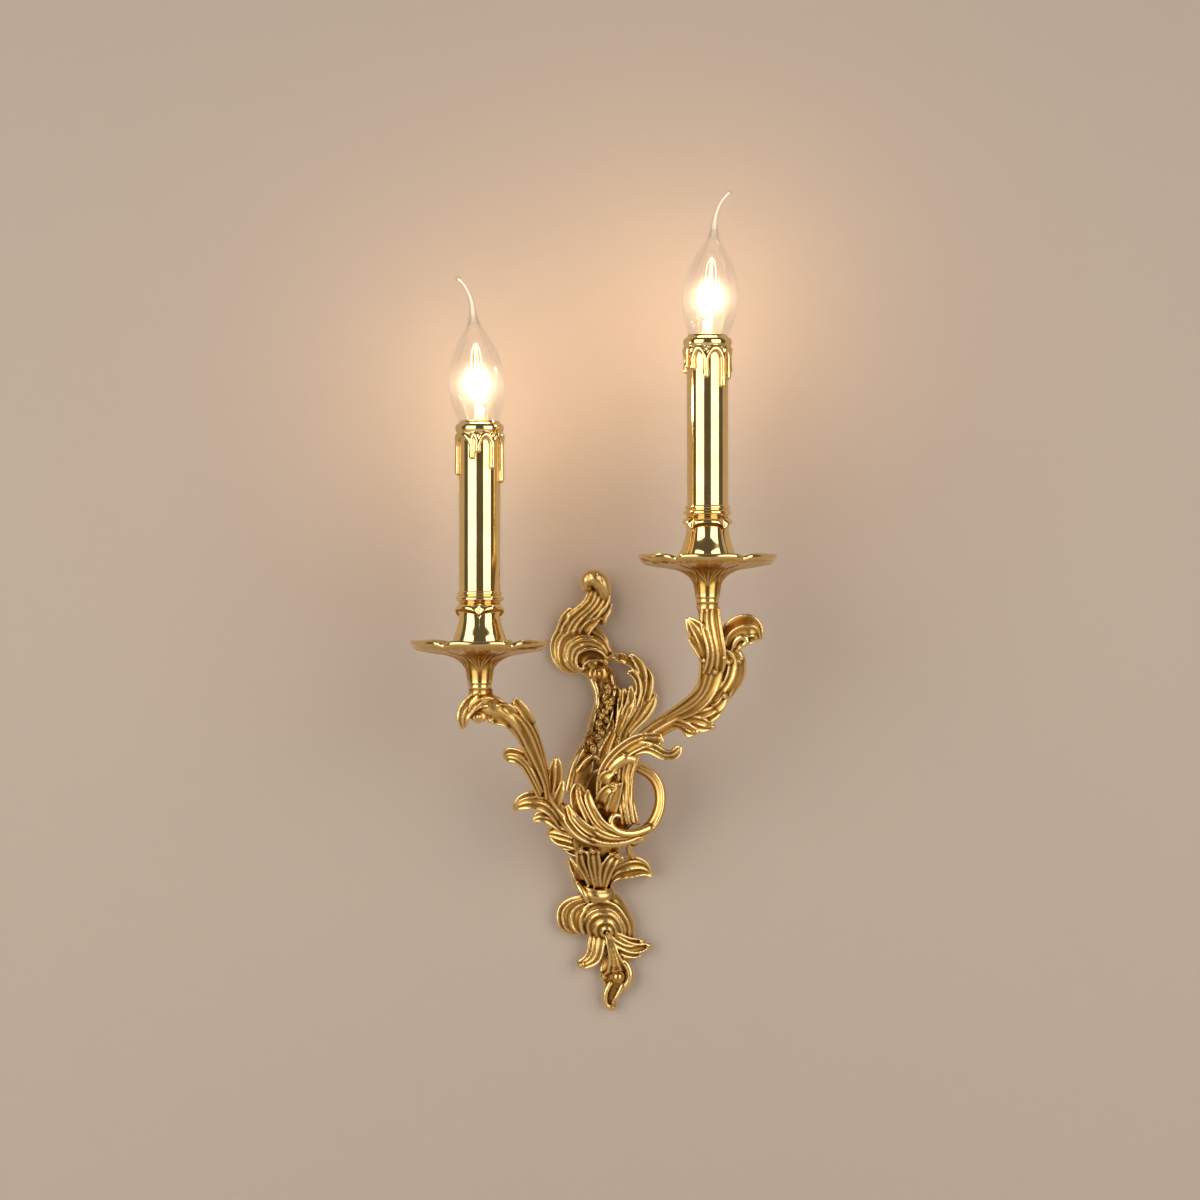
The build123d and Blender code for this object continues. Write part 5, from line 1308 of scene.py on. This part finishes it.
# Painted glow on the glass: a warm band round the filaments and a faint glow in the tip.
core_reach = 9.0
core_painted_glow = 8.0
tip_painted_glow = 0.7
tip_painted_glow_h = 62.0
tip_painted_glow_run = 8.0
tip_solid = 0.45
tip_solid_h = 58.0
tip_solid_run = 10.0
outward = {"left": -1, "right": 1}
for side, candle in candles.items():
    core = (candle[1] + rim_h + core_h) * MM
    hot_filament = glowing(f"{side}_filament", strength=34.0, middle=core, reach=0.013)
    # The glass stem is given a painted glow, as if lit by the filaments.
    stem_painted_glow = glowing(f"{side}_lit_stem", strength=0.9, middle=core, reach=0.03)
    for part, finish in {
        "holder_body": black_resin, "holder_shell": plain_brass, "holder_contact": plain_brass,
        "candle_nipple": plain_brass, "candle_nut": plain_brass, "bulb_cap": nickel,
        "bulb_insulator": black_glass, "bulb_contact": solder, "bulb_stem": stem_painted_glow,
        "bulb_supports": nickel,
    }.items():
        paint_node(f"{side}_{part}", finish)
    loops = []
    lean = outward[side] * body_lean
    for turn in filament_turns:
        across = math.cos(math.radians(turn))
        deep = math.sin(math.radians(turn))
        legs = hairpin + [(-r, h) for r, h in hairpin[-2::-1]]
        places = [(candle[0] + lean * h + r * across, candle[1] + rim_h + h, candle_out + r * deep)
                  for r, h in legs]
        loops.append(strand(places, [filament_r] * len(places)))
    wires = put(f"{side}_filament_loops", mesh_of(f"{side}_filament_loops", loops))
    wires.data.shade_smooth()
    wires.data.materials.append(hot_filament)
    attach(wires, f"{side}_lamp")
    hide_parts(f"{side}_bulb_filaments")
heights, radii = np.array(glass_line).T
lean_h, lean_by = np.array(tip_lean).T
rise = np.concatenate([np.linspace(heights[0], bend_h, 60), np.linspace(bend_h, lean_h[-1], 40)[1:]])
glass_r = smooth(heights, radii[:, None], np.minimum(rise, heights[-1]))[:, 0]
hollow_r = np.maximum(glass_r[:hollow_rows] - glass_wall, least_hollow_r)
aside = np.maximum(smooth(lean_h, lean_by[:, None], np.maximum(rise, bend_h))[:, 0], 0) * (rise > bend_h)
aside += np.maximum(seat_lean + body_lean * rise, 0)
for side, candle in candles.items():
    path = np.column_stack([candle[0] + outward[side] * aside, candle[1] + rim_h + rise,
                            np.full(len(rise), candle_out)])
    skin = tube(path, glass_r, sides=glass_sides)
    hollow, turned = tube(path[:hollow_rows], hollow_r, sides=glass_sides)
    shapes = [skin, (hollow, turned[:, ::-1]), bead(*path[-1], tip_bead_r)]
    glass = put(f"{side}_lamp_glass", mesh_of(f"{side}_lamp_glass", shapes))
    glass.data.shade_smooth()
    glass.data.materials.append(clear_glass)
    height = np.array([v.co.z for v in glass.data.vertices]) / MM - candle[1] - rim_h
    # The glass gets its painted glow by height.
    bloom = core_painted_glow * np.exp(-((height - core_h) / core_reach) ** 2)
    bloom += tip_painted_glow * np.clip((height - tip_painted_glow_h) / tip_painted_glow_run, 0, 1)
    store(glass.data, "bloom", bloom)
    store(glass.data, "solid", tip_solid * np.clip((height - tip_solid_h) / tip_solid_run, 0, 1))
    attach(glass, f"{side}_lamp")
    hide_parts(f"{side}_bulb_glass")

# Wall
# A plain beige wall behind the sconce and a pale floor far below it. From behind, the wall lets
# the view through. What mirrors the wall sees it evenly lit, so that the back of the plate shows.
wall_size = 3.0
wall_y = 0.0005
floor_z = -0.6


def sheet(name, corners):
    """One flat face of the stage."""
    mesh = bpy.data.meshes.new(name)
    mesh.from_pydata(corners, [], [(0, 1, 2, 3)])
    return put(name, mesh)


wall = sheet("wall", [(-wall_size, wall_y, floor_z), (wall_size, wall_y, floor_z),
                      (wall_size, wall_y, wall_size), (-wall_size, wall_y, wall_size)])
paint, shader, add, link = finish_of("wall_paint")
shader.inputs["Base Color"].default_value = (0.5, 0.408, 0.33, 1)
shader.inputs["Roughness"].default_value = 0.9
mirrored = add("ShaderNodeEmission")
mirrored.inputs["Color"].default_value = (0.5, 0.4, 0.31, 1)
seen = add("ShaderNodeMixShader")
link(add("ShaderNodeLightPath").outputs["Is Glossy Ray"], seen.inputs["Fac"])
link(shader.outputs["BSDF"], seen.inputs[1])
link(mirrored.outputs["Emission"], seen.inputs[2])
behind = add("ShaderNodeNewGeometry").outputs["Backfacing"]
clear = add("ShaderNodeBsdfTransparent")
choose = add("ShaderNodeMixShader")
link(behind, choose.inputs["Fac"])
link(seen.outputs["Shader"], choose.inputs[1])
link(clear.outputs["BSDF"], choose.inputs[2])
link(choose.outputs["Shader"], paint.node_tree.nodes["Material Output"].inputs["Surface"])
wall.data.materials.append(paint)
floor = sheet("floor", [(-wall_size, -wall_size, floor_z), (wall_size, -wall_size, floor_z),
                        (wall_size, wall_size, floor_z), (-wall_size, wall_size, floor_z)])
pale, shader, add, link = finish_of("floor_paint")
shader.inputs["Base Color"].default_value = (0.72, 0.68, 0.62, 1)
shader.inputs["Roughness"].default_value = 0.8
floor.data.materials.append(pale)

# Light and camera
# Two tall soft boxes in front, left and right, a weak one above, the glow of the two lamps, and a
# dim warm room. The camera looks straight at the wall.
aim = (0, 0, 0.1)
glow_h = 20.0


def soft_box(name, place, width, height, watts, colour):
    """A rectangular light that faces the middle of the sconce."""
    lamp = bpy.data.lights.new(name, "AREA")
    lamp.shape = "RECTANGLE"
    lamp.size = width
    lamp.size_y = height
    lamp.energy = watts
    lamp.color = colour
    obj = put(name, lamp)
    obj.location = place
    obj.rotation_euler = (Vector(aim) - Vector(place)).to_track_quat("-Z", "Y").to_euler()


soft_box("left_box", (-0.99, -1.14, 0.27), width=1.25, height=1.6, watts=15, colour=(1, 0.99, 0.97))
soft_box("right_box", (0.97, -1.16, 0.27), width=1.15, height=1.6, watts=13.5, colour=(1, 0.99, 0.97))
soft_box("top_box", (0, -0.7, 1.9), width=1.2, height=0.6, watts=0.6, colour=(1, 0.98, 0.95))
for side, candle in candles.items():
    glow = bpy.data.lights.new(f"{side}_glow", "POINT")
    glow.energy = 0.31
    glow.color = (1.0, 0.66, 0.33)
    glow.shadow_soft_size = 0.012
    glow_object = put(f"{side}_glow", glow)
    glow_object.location = above(candle, rim_h + glow_h)
    glow_object.visible_camera = False
    glow_object.visible_transmission = False
world = bpy.data.worlds.new("room")
bpy.context.scene.world = world
world.use_nodes = True
world.node_tree.nodes["Background"].inputs["Color"].default_value = (0.36, 0.33, 0.3, 1)
world.node_tree.nodes["Background"].inputs["Strength"].default_value = 0.3
camera_data = bpy.data.cameras.new("camera")
camera_data.lens = 92.93
camera_data.sensor_width = 36.0
camera = put("camera", camera_data)
camera.location = (eye[0] * MM, -eye[2] * MM, eye[1] * MM)
camera.rotation_euler = (math.pi / 2, 0, 0)
bpy.context.scene.camera = camera
bpy.context.scene.view_settings.view_transform = "Standard"
